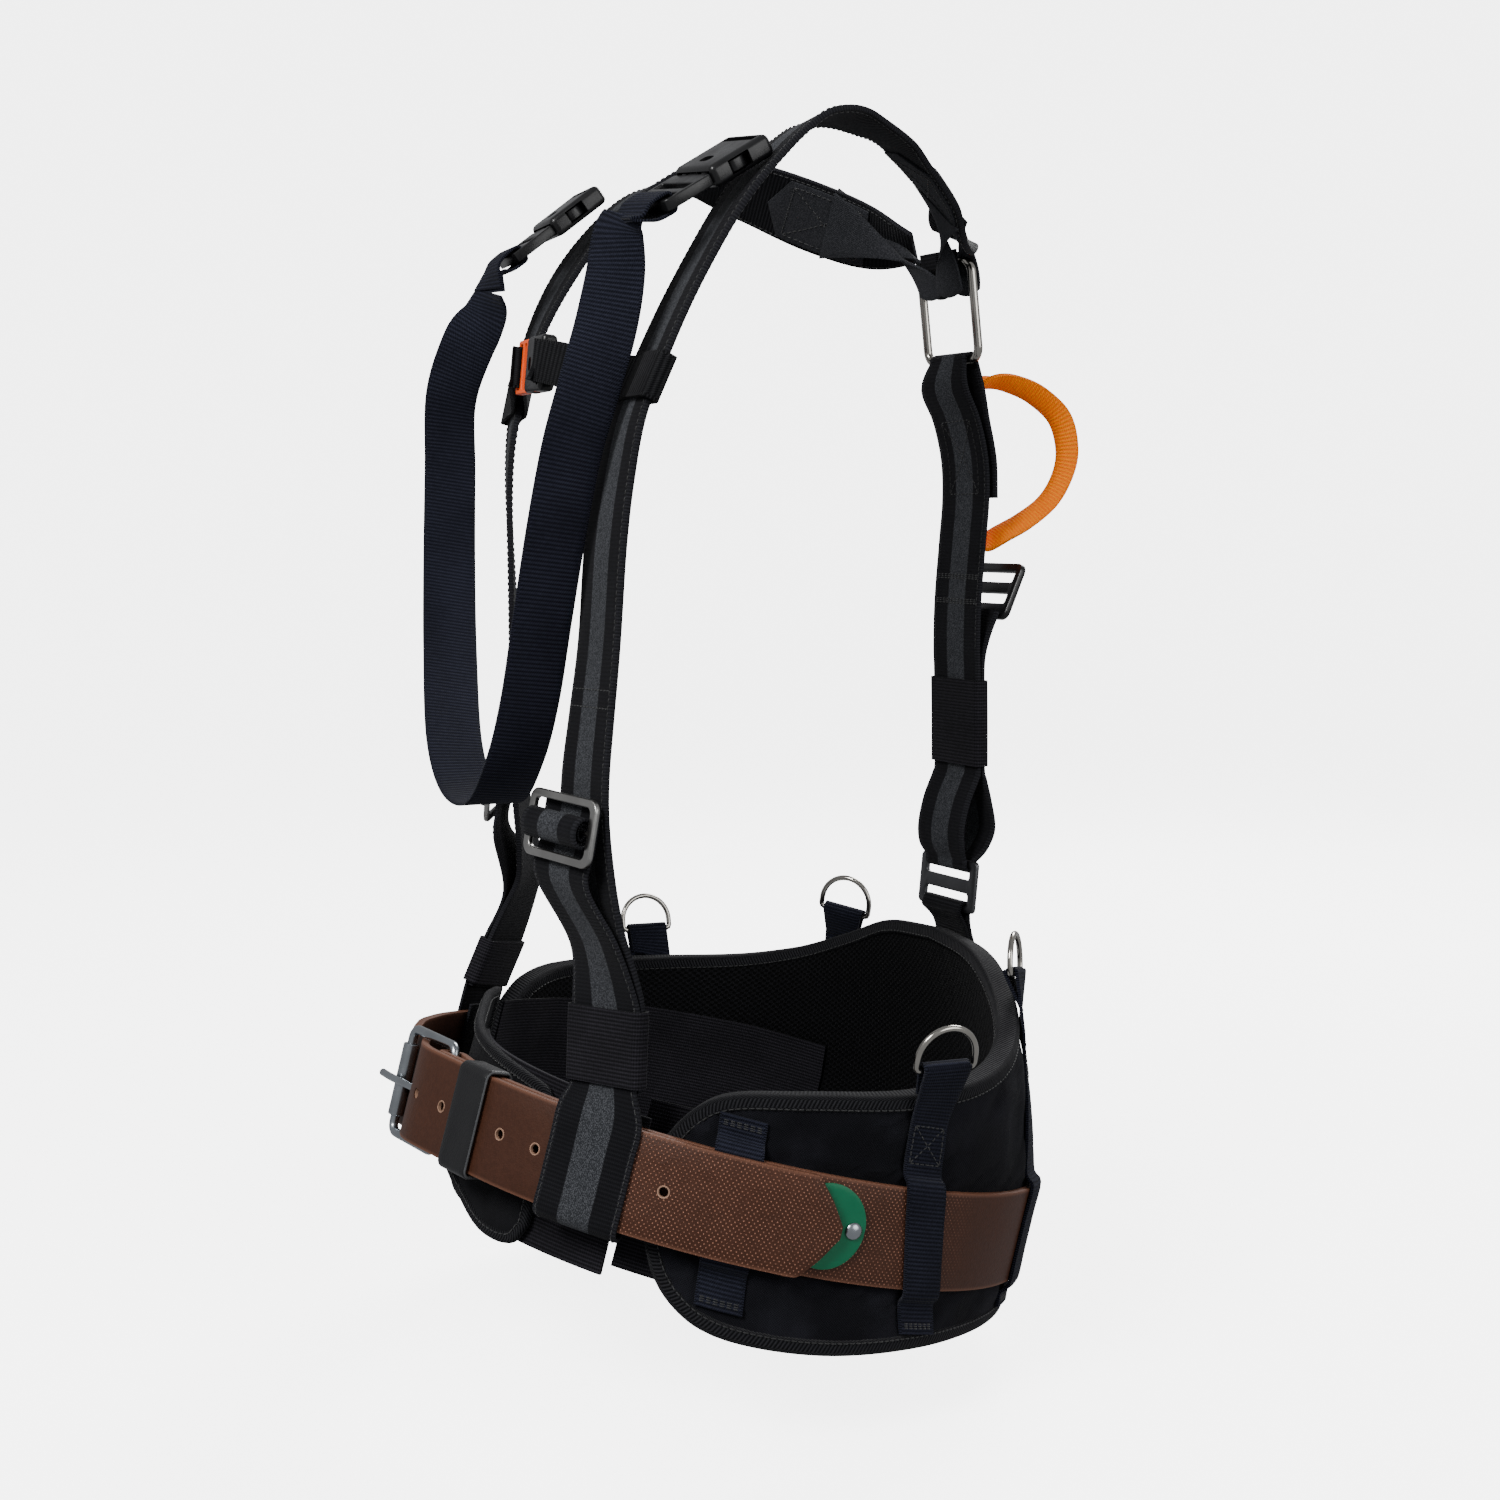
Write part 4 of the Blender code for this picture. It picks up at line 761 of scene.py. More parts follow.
def helper(name, shape, place):
    mesh = bpy.data.meshes.new(name)
    shape.to_mesh(mesh)
    shape.free()
    mesh.transform(place)
    return link(name, mesh, [])


def box_shape(size, bevel=0.0, segments=2):
    shape = bmesh.new()
    bmesh.ops.create_cube(shape, size=1.0, matrix=Matrix.Diagonal((*size, 1)))
    if bevel:
        bmesh.ops.bevel(shape, geom=shape.edges, offset=bevel, segments=segments, affect="EDGES",
                        profile=0.5)
    return shape


def pin_shape(radius, length, segments=32):
    """A cylinder along Y."""
    shape = bmesh.new()
    bmesh.ops.create_cone(shape, cap_ends=True, segments=segments, radius1=radius,
                          radius2=radius, depth=length,
                          matrix=Matrix.Rotation(math.pi / 2, 4, "X"))
    return shape


def carve(obj, cutters, operation="DIFFERENCE", sharp_angle=38):
    """Cuts the helpers out of a piece, or joins them to it, and removes them."""
    for cutter in cutters:
        step = obj.modifiers.new(cutter.name, "BOOLEAN")
        step.operation = operation
        step.object = cutter
        step.solver = "EXACT"
    bpy.context.view_layer.update()
    settle(obj, sharp_angle)
    for cutter in cutters:
        bpy.data.objects.remove(cutter, do_unlink=True)
    return obj


def turned(name, profile, place, look_of, steps=40):
    """A profile of (radius, height) turned about the place's Z axis."""
    rings = []
    for step in range(steps):
        turn = math.tau * step / steps
        rings.append([place @ Vector((r * math.cos(turn), r * math.sin(turn), z))
                      for r, z in profile])
    obj = grid(name, rings, look_of, wrap_along=True, wrap_across=False)
    clean(obj.data, 0.000002)
    return settle(obj, 30)


# ---- stitching ----

STITCH = 0.0026
STITCH_PITCH = 0.0034
THREAD_RADIUS = 0.00032


def seam_marks(surface, lines, lift):
    """The (points, normal) of each stitch along lines of (across, along) on a surface."""
    marks = []
    for line in lines:
        for (u0, v0), (u1, v1) in zip(line, line[1:]):
            length = math.hypot(u1 - u0, v1 - v0)
            count = max(1, round(length / STITCH_PITCH))
            for i in range(count):
                start = (i + 0.5) / count - STITCH / 2 / length
                points = []
                for share, rise in ((0, -0.0002), (0.2, 0.00018), (0.8, 0.00018), (1, -0.0002)):
                    t = start + share * STITCH / length
                    point, normal = surface.spot(u0 + (u1 - u0) * t, v0 + (v1 - v0) * t,
                                                 lift + rise)
                    points.append(point)
                marks.append((points, normal))
    return marks


def sew(name, marks, body, colour_look, slot, radius=THREAD_RADIUS):
    """One piece that holds the stitches, each a short arc of thread."""
    shape = bmesh.new()
    sides = 5
    for points, normal in marks:
        rings = []
        for i, point in enumerate(points):
            ahead = points[min(i + 1, len(points) - 1)] - points[max(i - 1, 0)]
            side = ahead.normalized().cross(normal).normalized()
            size = radius * (0.55 if i in (0, len(points) - 1) else 1)
            rings.append([shape.verts.new(point + (normal * math.cos(math.tau * k / sides)
                                                   + side * math.sin(math.tau * k / sides)) * size)
                          for k in range(sides)])
        for first, second in zip(rings, rings[1:]):
            for k in range(sides):
                face = shape.faces.new((first[k], first[(k + 1) % sides],
                                        second[(k + 1) % sides], second[k]))
                face.smooth = True
        shape.faces.new(list(reversed(rings[0])))
        shape.faces.new(rings[-1])
    bmesh.ops.recalc_face_normals(shape, faces=shape.faces)
    mesh = bpy.data.meshes.new(name)
    shape.to_mesh(mesh)
    shape.free()
    return ride(link(name, mesh, colour_look), body, slot)


def box_x(half, start, end):
    """A box with a cross in it."""
    return [[(-half, start), (half, start), (half, end), (-half, end), (-half, start)],
            [(-half, start), (half, end)], [(half, start), (-half, end)]]


def side_seams(half, start, end):
    return [[(side * half, start), (side * half, end)] for side in (-1, 1)]


def bar_tack(half, along, rows=3, pitch=0.0011):
    return [[(-half, along + i * pitch), (half, along + i * pitch)] for i in range(rows)]


# ---- the waist ----

def front_bulge(angle):
    """How far the stiff belt stands out of the ellipse beside its buckle."""
    return 0.0072 * math.exp(-((angle + 6) / 17) ** 2)


def waist(angle, out, height):
    """Point beside the waist: degrees from the front to the wearer's left, out from the belt's
    middle, and height along its width."""
    turn = math.radians(angle)
    out += front_bulge((angle + 180) % 360 - 180)
    flat = Vector(((WAIST_A + out) * math.sin(turn), -(WAIST_B + out) * math.cos(turn), height))
    return Matrix.Rotation(-WAIST_TILT, 3, "X") @ flat + WAIST_CENTRE


def waist_along(angle):
    return (waist(angle + 0.5, 0, 0) - waist(angle - 0.5, 0, 0)).normalized()


def waist_up():
    return Matrix.Rotation(-WAIST_TILT, 3, "X") @ Vector((0, 0, 1))


def smooth_table(table):
    return [tuple(point) for point in through([Vector(knot) for knot in table], 6)]


SMOOTH_TOP = smooth_table(PAD_TOP)
SMOOTH_BOTTOM = smooth_table(PAD_BOTTOM)


def by_angle(table, angle):
    """Value of a table of (angle, value), the same on both sides of the waist."""
    return at(table, max(abs((angle + 180) % 360 - 180), table[0][0]))


def at(table, angle):
    """Value of a table of (angle, value) at an angle, with straight runs between."""
    for (start, low), (end, high) in zip(table, table[1:]):
        if angle <= end:
            return low + (high - low) * (angle - start) / (end - start)
    return table[-1][1]


def pad_lean(angle, height):
    """How far the pad stands out from the waist ellipse: in at the small of the back, flared
    beside the hips, and drawn in at its front ends."""
    side = abs((angle + 180) % 360 - 180)
    back = max(0.0, -math.cos(math.radians(side)))
    rise = max(0.0, (height - 0.025) / 0.115)
    flare = min(0.009, 0.008 * max(0.0, (abs(height) - 0.036) / 0.034))
    flare *= math.exp(-((side - 90) / 35) ** 2)
    ends = max(0.0, min(1.0, (70 - side) / 8))
    return -0.056 * back * rise ** 1.2 + flare - 0.0034 * ends


def pad_point(angle, depth, height):
    return waist(angle, PAD_OUT - depth + pad_lean(angle, height), height)


def inset_edge(edge, inset):
    """The closed outline of (angle, height) moved inward, square to itself."""
    moved = []
    for i, (angle, height) in enumerate(edge):
        before, after = edge[i - 1], edge[(i + 1) % len(edge)]
        run = (after[0] - before[0]) * DEGREE
        rise = after[1] - before[1]
        length = math.hypot(run, rise)
        moved.append((angle + rise / length * inset / DEGREE, height - run / length * inset))
    return moved


def pad_angles():
    """Angles round the back of the waist, closer together at the pad's rounded ends."""
    near = spread(PAD_FRONT, 66, 13)[:-1] + spread(66, 180, 52)
    return near + [360 - angle for angle in reversed(near[:-1])]


def pad_edge(inset):
    """Outline of the pad, along its top and back along its bottom."""
    angles = pad_angles()
    edge = [(angle, by_angle(SMOOTH_TOP, angle)) for angle in angles]
    edge += [(angle, by_angle(SMOOTH_BOTTOM, angle)) for angle in reversed(angles)]
    return inset_edge(edge, inset)


def black_thread():
    return thread("black_thread", (0.005, 0.005, 0.0055))


def black_web(half, pitch=0.0020):
    return ribbed(f"black_webbing_{round(half * 2000)}", (0.0015, 0.0015, 0.002),
                  (0.017, 0.017, 0.020), pitch, half, 0.0016)


def elastic_look():
    return ribbed("ribbed_elastic", (0.0025, 0.0025, 0.003), (0.026, 0.024, 0.030), 0.0019, 0.06,
                  0.0005, True)


def strap_looks():
    half = STRAP_WIDTH / 2
    return [striped("strap_webbing", (0.0075, 0.0075, 0.009), (0.075, 0.078, 0.086), half),
            black_web(half)]


# ---- padded belt ----

COVER_CROWN = 0.0022
EDGE_FALL = 0.016


def pad_rows(inset, depth, columns):
    """Rows of pad points with each one's distance from the pad's edge."""
    edge = pad_edge(inset)
    half = len(edge) // 2
    ends = math.radians(90)
    rows, falls = [], []
    for (top_angle, top), (low_angle, low) in zip(edge[:half], reversed(edge[half:])):
        row, fall = [], []
        for share in spread(0, 1, columns):
            angle = low_angle + (top_angle - low_angle) * share
            height = low + (top - low) * share
            reach = min(height - low, top - height,
                        (min(angle, 360 - angle) - PAD_FRONT) * DEGREE * 1.5)
            fall.append(math.sin(ends * max(0.0, min(1.0, reach / EDGE_FALL))))
            row.append((angle, depth, height))
        rows.append(row)
        falls.append(fall)
    return rows, falls


def crowned(spots, falls, crown):
    """The points, swelling away from the pad's edge."""
    return [[pad_point(angle, depth - crown(angle, height) * fall, height)
             for (angle, depth, height), fall in zip(row, fall_row)]
            for row, fall_row in zip(spots, falls)]


def cover_room(angle, height):
    """How far the cover may swell before it meets the belt or a loop."""
    side = abs((angle + 180) % 360 - 180)
    if abs(height) < BELT_WIDTH / 2 + 0.004:
        return 0.0003
    for middle in (66.3 - 34 * height, 100.4 - 82 * height, 136):
        if abs(side - middle) * DEGREE < LOOP_WIDTH / 2 + 0.003:
            return 0.0006
    return COVER_CROWN


BILLOW_FRAMES = 16


def billow(obj, room):
    """Lets the cloth swell under pressure, pinned at its edge, within the room it has."""
    rest = [v.co.copy() for v in obj.data.vertices]
    pins = obj.vertex_groups.new(name="pins")
    pins.add([i for i, most in enumerate(room) if most < 0.0005], 1.0, "REPLACE")
    cloth = obj.modifiers.new("billow", "CLOTH")
    cloth.settings.quality = 5
    cloth.settings.mass = 0.25
    cloth.settings.tension_stiffness = 12
    cloth.settings.compression_stiffness = 12
    cloth.settings.bending_stiffness = 0.4
    cloth.settings.shrink_min = -0.03
    cloth.settings.use_pressure = True
    cloth.settings.uniform_pressure_force = 3.0
    cloth.settings.vertex_group_mass = "pins"
    cloth.settings.effector_weights.gravity = 0
    cloth.point_cache.frame_start = 1
    cloth.point_cache.frame_end = BILLOW_FRAMES
    scene = bpy.context.scene
    for step in range(1, BILLOW_FRAMES + 1):
        scene.frame_set(step)
    graph = bpy.context.evaluated_depsgraph_get()
    swollen = obj.evaluated_get(graph).to_mesh()
    ends = [v.co.copy() for v in swollen.vertices]
    obj.evaluated_get(graph).to_mesh_clear()
    obj.modifiers.remove(cloth)
    obj.vertex_groups.remove(pins)
    scene.frame_set(1)
    for vertex, start, end, most in zip(obj.data.vertices, rest, ends, room):
        step = end - start
        if step.length > most:
            step *= most / step.length
        vertex.co = start + step


def edge_tape(name, edge, point, depth, width, height, looks, seam_name):
    """Binding round a closed outline of (angle, height), with a seam on each face."""
    centre, inner = edge(height / 2), edge(height / 2 + 0.001)
    rings, faces = [], ([], [])
    section = rounded(width, height, 0.0021, corner=4)
    for (angle, level), (angle_in, level_in) in zip(centre, inner):
        middle = point(angle, depth, level)
        outward = (point(angle, depth - 0.001, level) - middle).normalized()
        inward = (point(angle_in, depth, level_in) - middle)
        inward = (inward - outward * inward.dot(outward)).normalized()
        rings.append([middle + outward * a + inward * b for a, b in section])
        for strip, sign in zip(faces, (1, -1)):
            strip.append([middle + outward * sign * width / 2 + inward * b
                          for b in (-height / 2, height / 2)])
    tape = shell(name, rings, looks, closed=True)
    marks = []
    for strip, face in zip(faces, (1, -1)):
        surface = Surface(strip + strip[:1], height, face)
        marks += seam_marks(surface, [[(height / 2 - 0.0014, 0), (height / 2 - 0.0014,
                                                               surface.length * 0.9995)]],
                            0.0001)
    sew(seam_name, marks, "harness", black_thread(), "binding_tape")
    return tape


def waist_pad():
    tuck = BINDING_HEIGHT - 0.0012
    tape_look = herringbone("binding_tape", (0.0015, 0.0015, 0.002), (0.024, 0.024, 0.027))
    spots, falls = pad_rows(tuck, COVER_THICK / 2, 33)
    rows = crowned(spots, falls, lambda angle, height: 0.6 * cover_room(angle, height))
    cover = grid("pad_cover_fabric", rows,
                 [woven("outer_fabric", (0.0018, 0.0018, 0.0026), (0.013, 0.013, 0.017),
                        0.0013, 30)])
    billow(cover, [0.5 * fall * cover_room(angle, height) if fall > 0.25 else 0.0
                   for row, fall_row in zip(spots, falls)
                   for (angle, _, height), fall in zip(row, fall_row)])
    thicken(cover, COVER_THICK)
    ride(cover, "harness", "outer_fabric", "pad_cover", "pad_foam")
    lining_depth = COVER_THICK + 2 * LAYER_GAP + FOAM_THICK + LINING_THICK / 2
    spots, falls = pad_rows(tuck, lining_depth, 33)
    lining = thicken(grid("pad_lining_mesh", crowned(spots, falls, lambda a, h: -0.0009),
                          [spacer_mesh()]), LINING_THICK)
    ride(lining, "harness", "spacer_mesh", "pad_lining")
    depth = (COVER_THICK + FOAM_THICK + LINING_THICK) / 2 + LAYER_GAP
    tape = edge_tape("pad_edge_tape", pad_edge, pad_point, depth, BINDING_WIDTH,
                     BINDING_HEIGHT + 0.0032, tape_look, "pad_edge_seam")
    ride(tape, "harness", "binding_tape", "pad_binding")


def band_rows(angles, out, low, high, steps):
    return [[waist(angle, out(angle), low(angle) + (high(angle) - low(angle)) * i / steps)
             for i in range(steps + 1)] for angle in angles]


def elastic_bands():
    """Ribbed elastic sewn inside the pad, with a crossed box at its end."""
    for side, word in ((1, "left"), (-1, "right")):
        rows = []
        depth = COVER_THICK + FOAM_THICK + LINING_THICK + 2 * LAYER_GAP + 0.0030
        for angle in spread(138, 47.5, 80):
            top = 0.030 + 0.016 * min(1, angle / 120)
            rows.append([pad_point(side * angle, depth, height)
                         for height in spread(-0.048, top, 11)])
        width = 0.090
        obj = band(f"waist_elastic_band_{word}", rows, 0.0012, [elastic_look()], width)
        ride(obj, "harness", "ribbed_elastic", f"waist_elastic_{word}")
        surface = Surface(rows, width, side)
        lines = box_x(0.030, 0.004, 0.044) + bar_tack(0.036, 0.050, 2)
        sew(f"waist_elastic_seam_{word}", seam_marks(surface, lines, 0.0007), "harness",
            black_thread(), "ribbed_elastic")


FLAP_TOP = [(-47, 0.044), (-24, 0.044), (0, 0.037), (24, 0.029), (29, 0.024), (31, 0.012)]
FLAP_BOTTOM = [(-47, -0.042), (-24, -0.036), (0, -0.040), (10, -0.045), (20, -0.055),
               (28, -0.054), (31, -0.042)]
PANEL_TOP = [(-8, 0.034), (20, 0.032), (47, 0.030)]
PANEL_BOTTOM = [(-8, -0.046), (20, -0.052), (47, -0.053)]
FLAP_THICK = 0.004


def front_inset(angle):
    """The front closure hangs inside the leather belt, further in on the wearer's right."""
    return -0.0110 - 0.015 * math.exp(-((angle + 22) / 25) ** 2) - front_bulge(angle)


def flap_point(angle, depth, height):
    return waist(angle, front_inset(angle) - depth, height)


def flap_edge(inset):
    top, bottom = smooth_table(FLAP_TOP), smooth_table(FLAP_BOTTOM)
    angles = spread(-46.5, 24, 34) + spread(25, 31, 9)
    edge = [(angle, at(top, angle)) for angle in angles]
    edge += [(angle, at(bottom, angle)) for angle in reversed(angles)]
    return inset_edge(edge, inset)


def front_closure():
    """Hook panel on the wearer's left, and the bound flap that closes over it."""
    rows = band_rows(spread(46.5, -8, 56), lambda a: front_inset(a) - 0.0048,
                     lambda a: at(PANEL_BOTTOM, a), lambda a: at(PANEL_TOP, a), 14)
    panel = band("hook_panel_band", rows, 0.0024, [elastic_look(), hook_face()], 0.085)
    ride(panel, "harness", "hook_tape", "hook_panel")
    edge = flap_edge(0.0025)
    half = len(edge) // 2
    rows = []
    for (top_angle, top), (low_angle, low) in zip(edge[:half], reversed(edge[half:])):
        row = []
        for share in spread(0, 1, 17):
            angle = low_angle + (top_angle - low_angle) * share
            height = low + (top - low) * share
            swell = 0.0006 * math.sin(math.pi * share)
            ripple = 0.0006 * noise.noise(Vector((angle / 9, height * 38, 0)))
            row.append(flap_point(angle, -swell - ripple * math.sin(math.pi * share), height))
        rows.append(row)
    flap = band("closure_flap_fabric", rows, FLAP_THICK - 0.0016,
                [woven("flap_fabric", (0.0018, 0.0018, 0.0024), (0.011, 0.011, 0.013), 0.0011, 24)])
    ride(flap, "harness", "flap_fabric", "closure_flap")
    look_of = herringbone("binding_tape", (0.0015, 0.0015, 0.002), (0.024, 0.024, 0.027))
    tape = edge_tape("closure_flap_tape", flap_edge, flap_point, 0, FLAP_THICK + 0.0010,
                     0.0060, look_of, "closure_flap_seam")
    ride(tape, "harness", "binding_tape")


# ---- leather belt ----

def buckle_place():
    """Buckle frame of reference: X from the roller to the heel bar, -Y outward, Z up the belt,
    with its origin on the heel bar."""
    heel = waist(BUCKLE_ANGLE, BUCKLE_HEEL_OUT, 0)
    along = Vector((math.cos(BUCKLE_HEADING), math.sin(BUCKLE_HEADING), -0.03))
    return frame_at(heel, along, waist_up())


def beside_buckle(along, out, height=0.0):
    return buckle_place() @ Vector((along, -out, height))


def belt_route():
    """Edges of the leather belt: a short return leg, the fold over the heel bar, once round the
    waist, behind the roller, and out over itself to the tip."""
    fold = BAR_RADIUS + 2 * GAP + BELT_THICK / 2 + 0.0008
    up = waist_up() * BELT_WIDTH / 2
    rows = [(waist(angle, -0.0056, 0), 1.0) for angle in (12.3, 11.5, 10.6, 9.8)]
    for turn in (165, 140, 115, 90, 65, 40, 15):
        bend = math.radians(turn)
        rows.append((beside_buckle(-fold * math.sin(bend), fold * math.cos(bend)), 1.0))
    rows += [(waist(angle, 0.0003 * max(0, 14 - angle), 0), 1.0) for angle in (9.5, 11, 14)]
    rows += [(waist(angle, 0, 0), 1.0) for angle in spread(18, 318, 51)]
    rows += [(waist(angle, 0.0012 * (angle - 318) / 10, 0), 1.0) for angle in (325, 332, 339)]
    round_roller = ROLLER_RADIUS + GAP + BELT_THICK / 2 + 0.0003
    rows += [(beside_buckle(along, out), 1.0) for along, out in
             ((-0.060, -round_roller - 0.0012), (-0.053, -round_roller - 0.0004),
              (-0.0475, -round_roller), (-0.0430, -0.0064), (-0.0395, -0.0042),
              (-0.0340, -0.0008), (-0.0270, 0.0034), (-0.0200, 0.0072), (-0.0120, 0.0098),
              (-0.0020, 0.0108))]
    rows += [(waist(angle, TIP_OUT, 0), 1.0) for angle in spread(11, 78, 19)]
    rows += [(waist(angle, TIP_OUT, 0), share) for angle, share in
             ((79.3, 0.86), (81.3, 0.58), (82.8, 0.30), (83.8, 0.12))]
    return [[middle - up * share, middle + up * share] for middle, share in rows]


BELT_ROWS = smooth_rows(belt_route(), 2)
BELT_SURFACE = Surface(BELT_ROWS, BELT_WIDTH, -1)


def belt_length_at(angle):
    """Distance along the belt where its outer layer passes an angle."""
    goal = waist(angle, TIP_OUT, 0)
    return min((((low + high) / 2 - goal).length, length)
               for (low, high), length in zip(BELT_ROWS, BELT_SURFACE.lengths))[1]


EMBOSS_START = belt_length_at(45)


def leather_belt():
    rows = across_rows(BELT_ROWS, 5)
    belt = band("leather_belt_strap", rows, BELT_THICK, [brown_leather()], bevel=0.0007)
    cutters = []
    rims = []
    for index in range(HOLE_COUNT):
        angle = HOLE_FIRST + HOLE_STEP * index
        place = frame_at(waist(angle, TIP_OUT + 0.001, 0), waist_along(angle), waist_up())
        cutters.append(helper(f"punch_{index}", pin_shape(HOLE_RADIUS, 0.0078), place))
        rim = frame_at(waist(angle, TIP_OUT + BELT_THICK / 2 - 0.0004, 0), waist_along(angle),
                       waist_up()) @ Matrix.Rotation(math.pi / 2, 4, "X")
        rims.append((index, rim))
    cutters.append(helper("prong_slot", box_shape((0.0260, 0.0105, 0.0068)),
                          buckle_place() @ Matrix.Translation((-0.0200, -0.00325, 0))))
    cutters.append(helper("fold_slot", box_shape((0.020, 0.0160, 0.0070)),
                          buckle_place() @ Matrix.Translation((0, 0.0002, 0))))
    carve(belt, cutters)
    ride(belt, "harness", "brown_leather", "leather_belt")
    fibre = raw_leather("punched_edge", (0.30, 0.17, 0.11))
    for index, place in rims:
        profile = [(HOLE_RADIUS - 0.0004, -0.0012), (HOLE_RADIUS + 0.0001, -0.0012),
                   (HOLE_RADIUS + 0.0004, 0.0004), (HOLE_RADIUS + 0.0002, 0.0006),
                   (HOLE_RADIUS - 0.0003, 0.0005)]
        ride(turned(f"punched_hole_{index}", profile + profile[:1], place, fibre, 28),
             "harness", "brown_leather")


def zinc():
    return metal("zinc_steel", (0.36, 0.385, 0.41), 0.16, 0.34, (1, 1, 7))


def belt_buckle():
    place = buckle_place()
    loop = [place @ Vector((x, 0, z)) for x, z in
            rounded(BUCKLE_LENGTH, BUCKLE_HEIGHT + 0.003, 0.005, x=-BUCKLE_LENGTH / 2)]
    ride(bar("belt_buckle_wire", loop, BAR_RADIUS, zinc(), closed=True), "harness",
         "zinc_steel", "belt_buckle_frame")
    profile = [(BAR_RADIUS + GAP, -0.0195), (ROLLER_RADIUS - 0.0004, -0.0195),
               (ROLLER_RADIUS, -0.0190), (ROLLER_RADIUS, 0.0190),
               (ROLLER_RADIUS - 0.0004, 0.0195), (BAR_RADIUS + GAP, 0.0195)]
    roller = turned("belt_buckle_roller", profile + profile[:1],
                    place @ Matrix.Translation((-BUCKLE_LENGTH, 0, 0)), zinc())
    ride(roller, "roller", "zinc_steel", "buckle_roller")
    wrap = BAR_RADIUS + GAP + PRONG_RADIUS
    route = [beside_buckle(-wrap * math.sin(math.radians(turn)),
                           wrap * math.cos(math.radians(turn))) for turn in spread(-225, 0, 10)]
    resting = ROLLER_RADIUS + GAP + PRONG_RADIUS
    for along, out in ((-0.016, 0.0053), (-0.034, 0.0060), (-0.046, resting),
                       (-0.053, resting - 0.0004), (-0.060, resting - 0.0012)):
        route.append(beside_buckle(along, out))
    ride(bar("belt_buckle_prong", through(route, 3), PRONG_RADIUS, zinc()), "prong",
         "zinc_steel", "buckle_prong")


KEEPER_ANGLE = 18.0


def belt_keeper():
    """Leather loop that holds the belt's tip down, its cut edges pale."""
    place = frame_at(waist(KEEPER_ANGLE, 0, 0), waist_along(KEEPER_ANGLE), waist_up())
    low = -BELT_THICK / 2 - 0.0028
    high = TIP_OUT + BELT_THICK / 2 + 0.0022
    outline = rounded(BELT_WIDTH + 0.0038, high - low, 0.0035, z=(high + low) / 2, corner=6)
    half = 0.011
    rows = [[place @ Vector((x, -out, height)) for x in spread(-half, half, 7)]
            for height, out in outline]
    keeper = band("belt_keeper_loop", rows, 0.0022, [black_leather()], 2 * half, closed=True,
                  bevel=0.0006)
    ride(keeper, "keeper", "black_leather", "belt_keeper")
    edge_look = raw_leather("keeper_edge", (0.050, 0.052, 0.055))
    for word, x in (("inner", half - 0.0001), ("outer", -half + 0.0001)):
        points = [place @ Vector((x, -out, height)) for height, out in outline]
        ride(bar(f"belt_keeper_edge_{word}", points, 0.0007, edge_look, closed=True, sides=2),
             "keeper", "black_leather")


RIVET_ANGLE = 86.3
TAG_RADIUS = 0.021
TAG_SHIFT = 0.0145


def swing_tag():
    """Thin plastic tag between the belt's layers, on a rivet near its edge."""
    rows = []
    for turn in spread(6, 174, 57):
        along = TAG_RADIUS * math.cos(math.radians(turn)) - TAG_SHIFT
        half = TAG_RADIUS * math.sin(math.radians(turn))
        angle = RIVET_ANGLE + along / DEGREE
        rows.append([waist(angle, 0.0032, 0.001 + half * k) for k in spread(-1, 1, 13)])
    tag = band("belt_tag_disc", rows, 0.0012, [moulded("green_plastic", (0.0, 0.115, 0.050),
                                                        0.25, 0.45)], bevel=0.0003)
    place = frame_at(waist(RIVET_ANGLE, 0, 0.001), waist_along(RIVET_ANGLE), waist_up())
    carve(tag, [helper("rivet_hole", pin_shape(0.0027, 0.012), place)])
    ride(tag, "tag", "green_plastic", "belt_tag")
    profile = [(0.0, 0.0062), (0.0014, 0.0061), (0.0028, 0.0057), (0.0038, 0.0051),
               (0.0042, 0.0046), (0.0042, 0.0042), (0.0022, 0.0042), (0.0022, 0.0024),
               (0.0, 0.0024)]
    rivet = turned("belt_rivet", profile, place @ Matrix.Rotation(math.pi / 2, 4, "X"), zinc())
    ride(rivet, "harness", "zinc_steel", "tag_rivet")


# ---- webbing loops and D-rings on the pad ----

ON_PAD = PAD_OUT + WEB_THICK / 2 + 0.0013
BINDING_STEP = 0.0014
OVER_BELT = BELT_THICK / 2 + WEB_THICK / 2 + GAP


def belt_loop_out(angle, height):
    """Out of a webbing loop that lies on the pad and bridges the belt."""
    on_pad = ON_PAD + pad_lean(angle, height)
    if height > by_angle(PAD_TOP, angle) - 0.010:
        on_pad += BINDING_STEP
    return max(on_pad, OVER_BELT) if abs(height) < 0.0275 else on_pad


def loop_row(angle, slant, height, drop=0.0, raised=0.0):
    """Across a webbing loop at a height: its angle, and how the angle slants with height."""
    middle = angle + slant * height
    half = LOOP_WIDTH / 2 / DEGREE
    return [waist(a, belt_loop_out(a, height) - drop, height + raised)
            for a in (middle - half, middle, middle + half)]


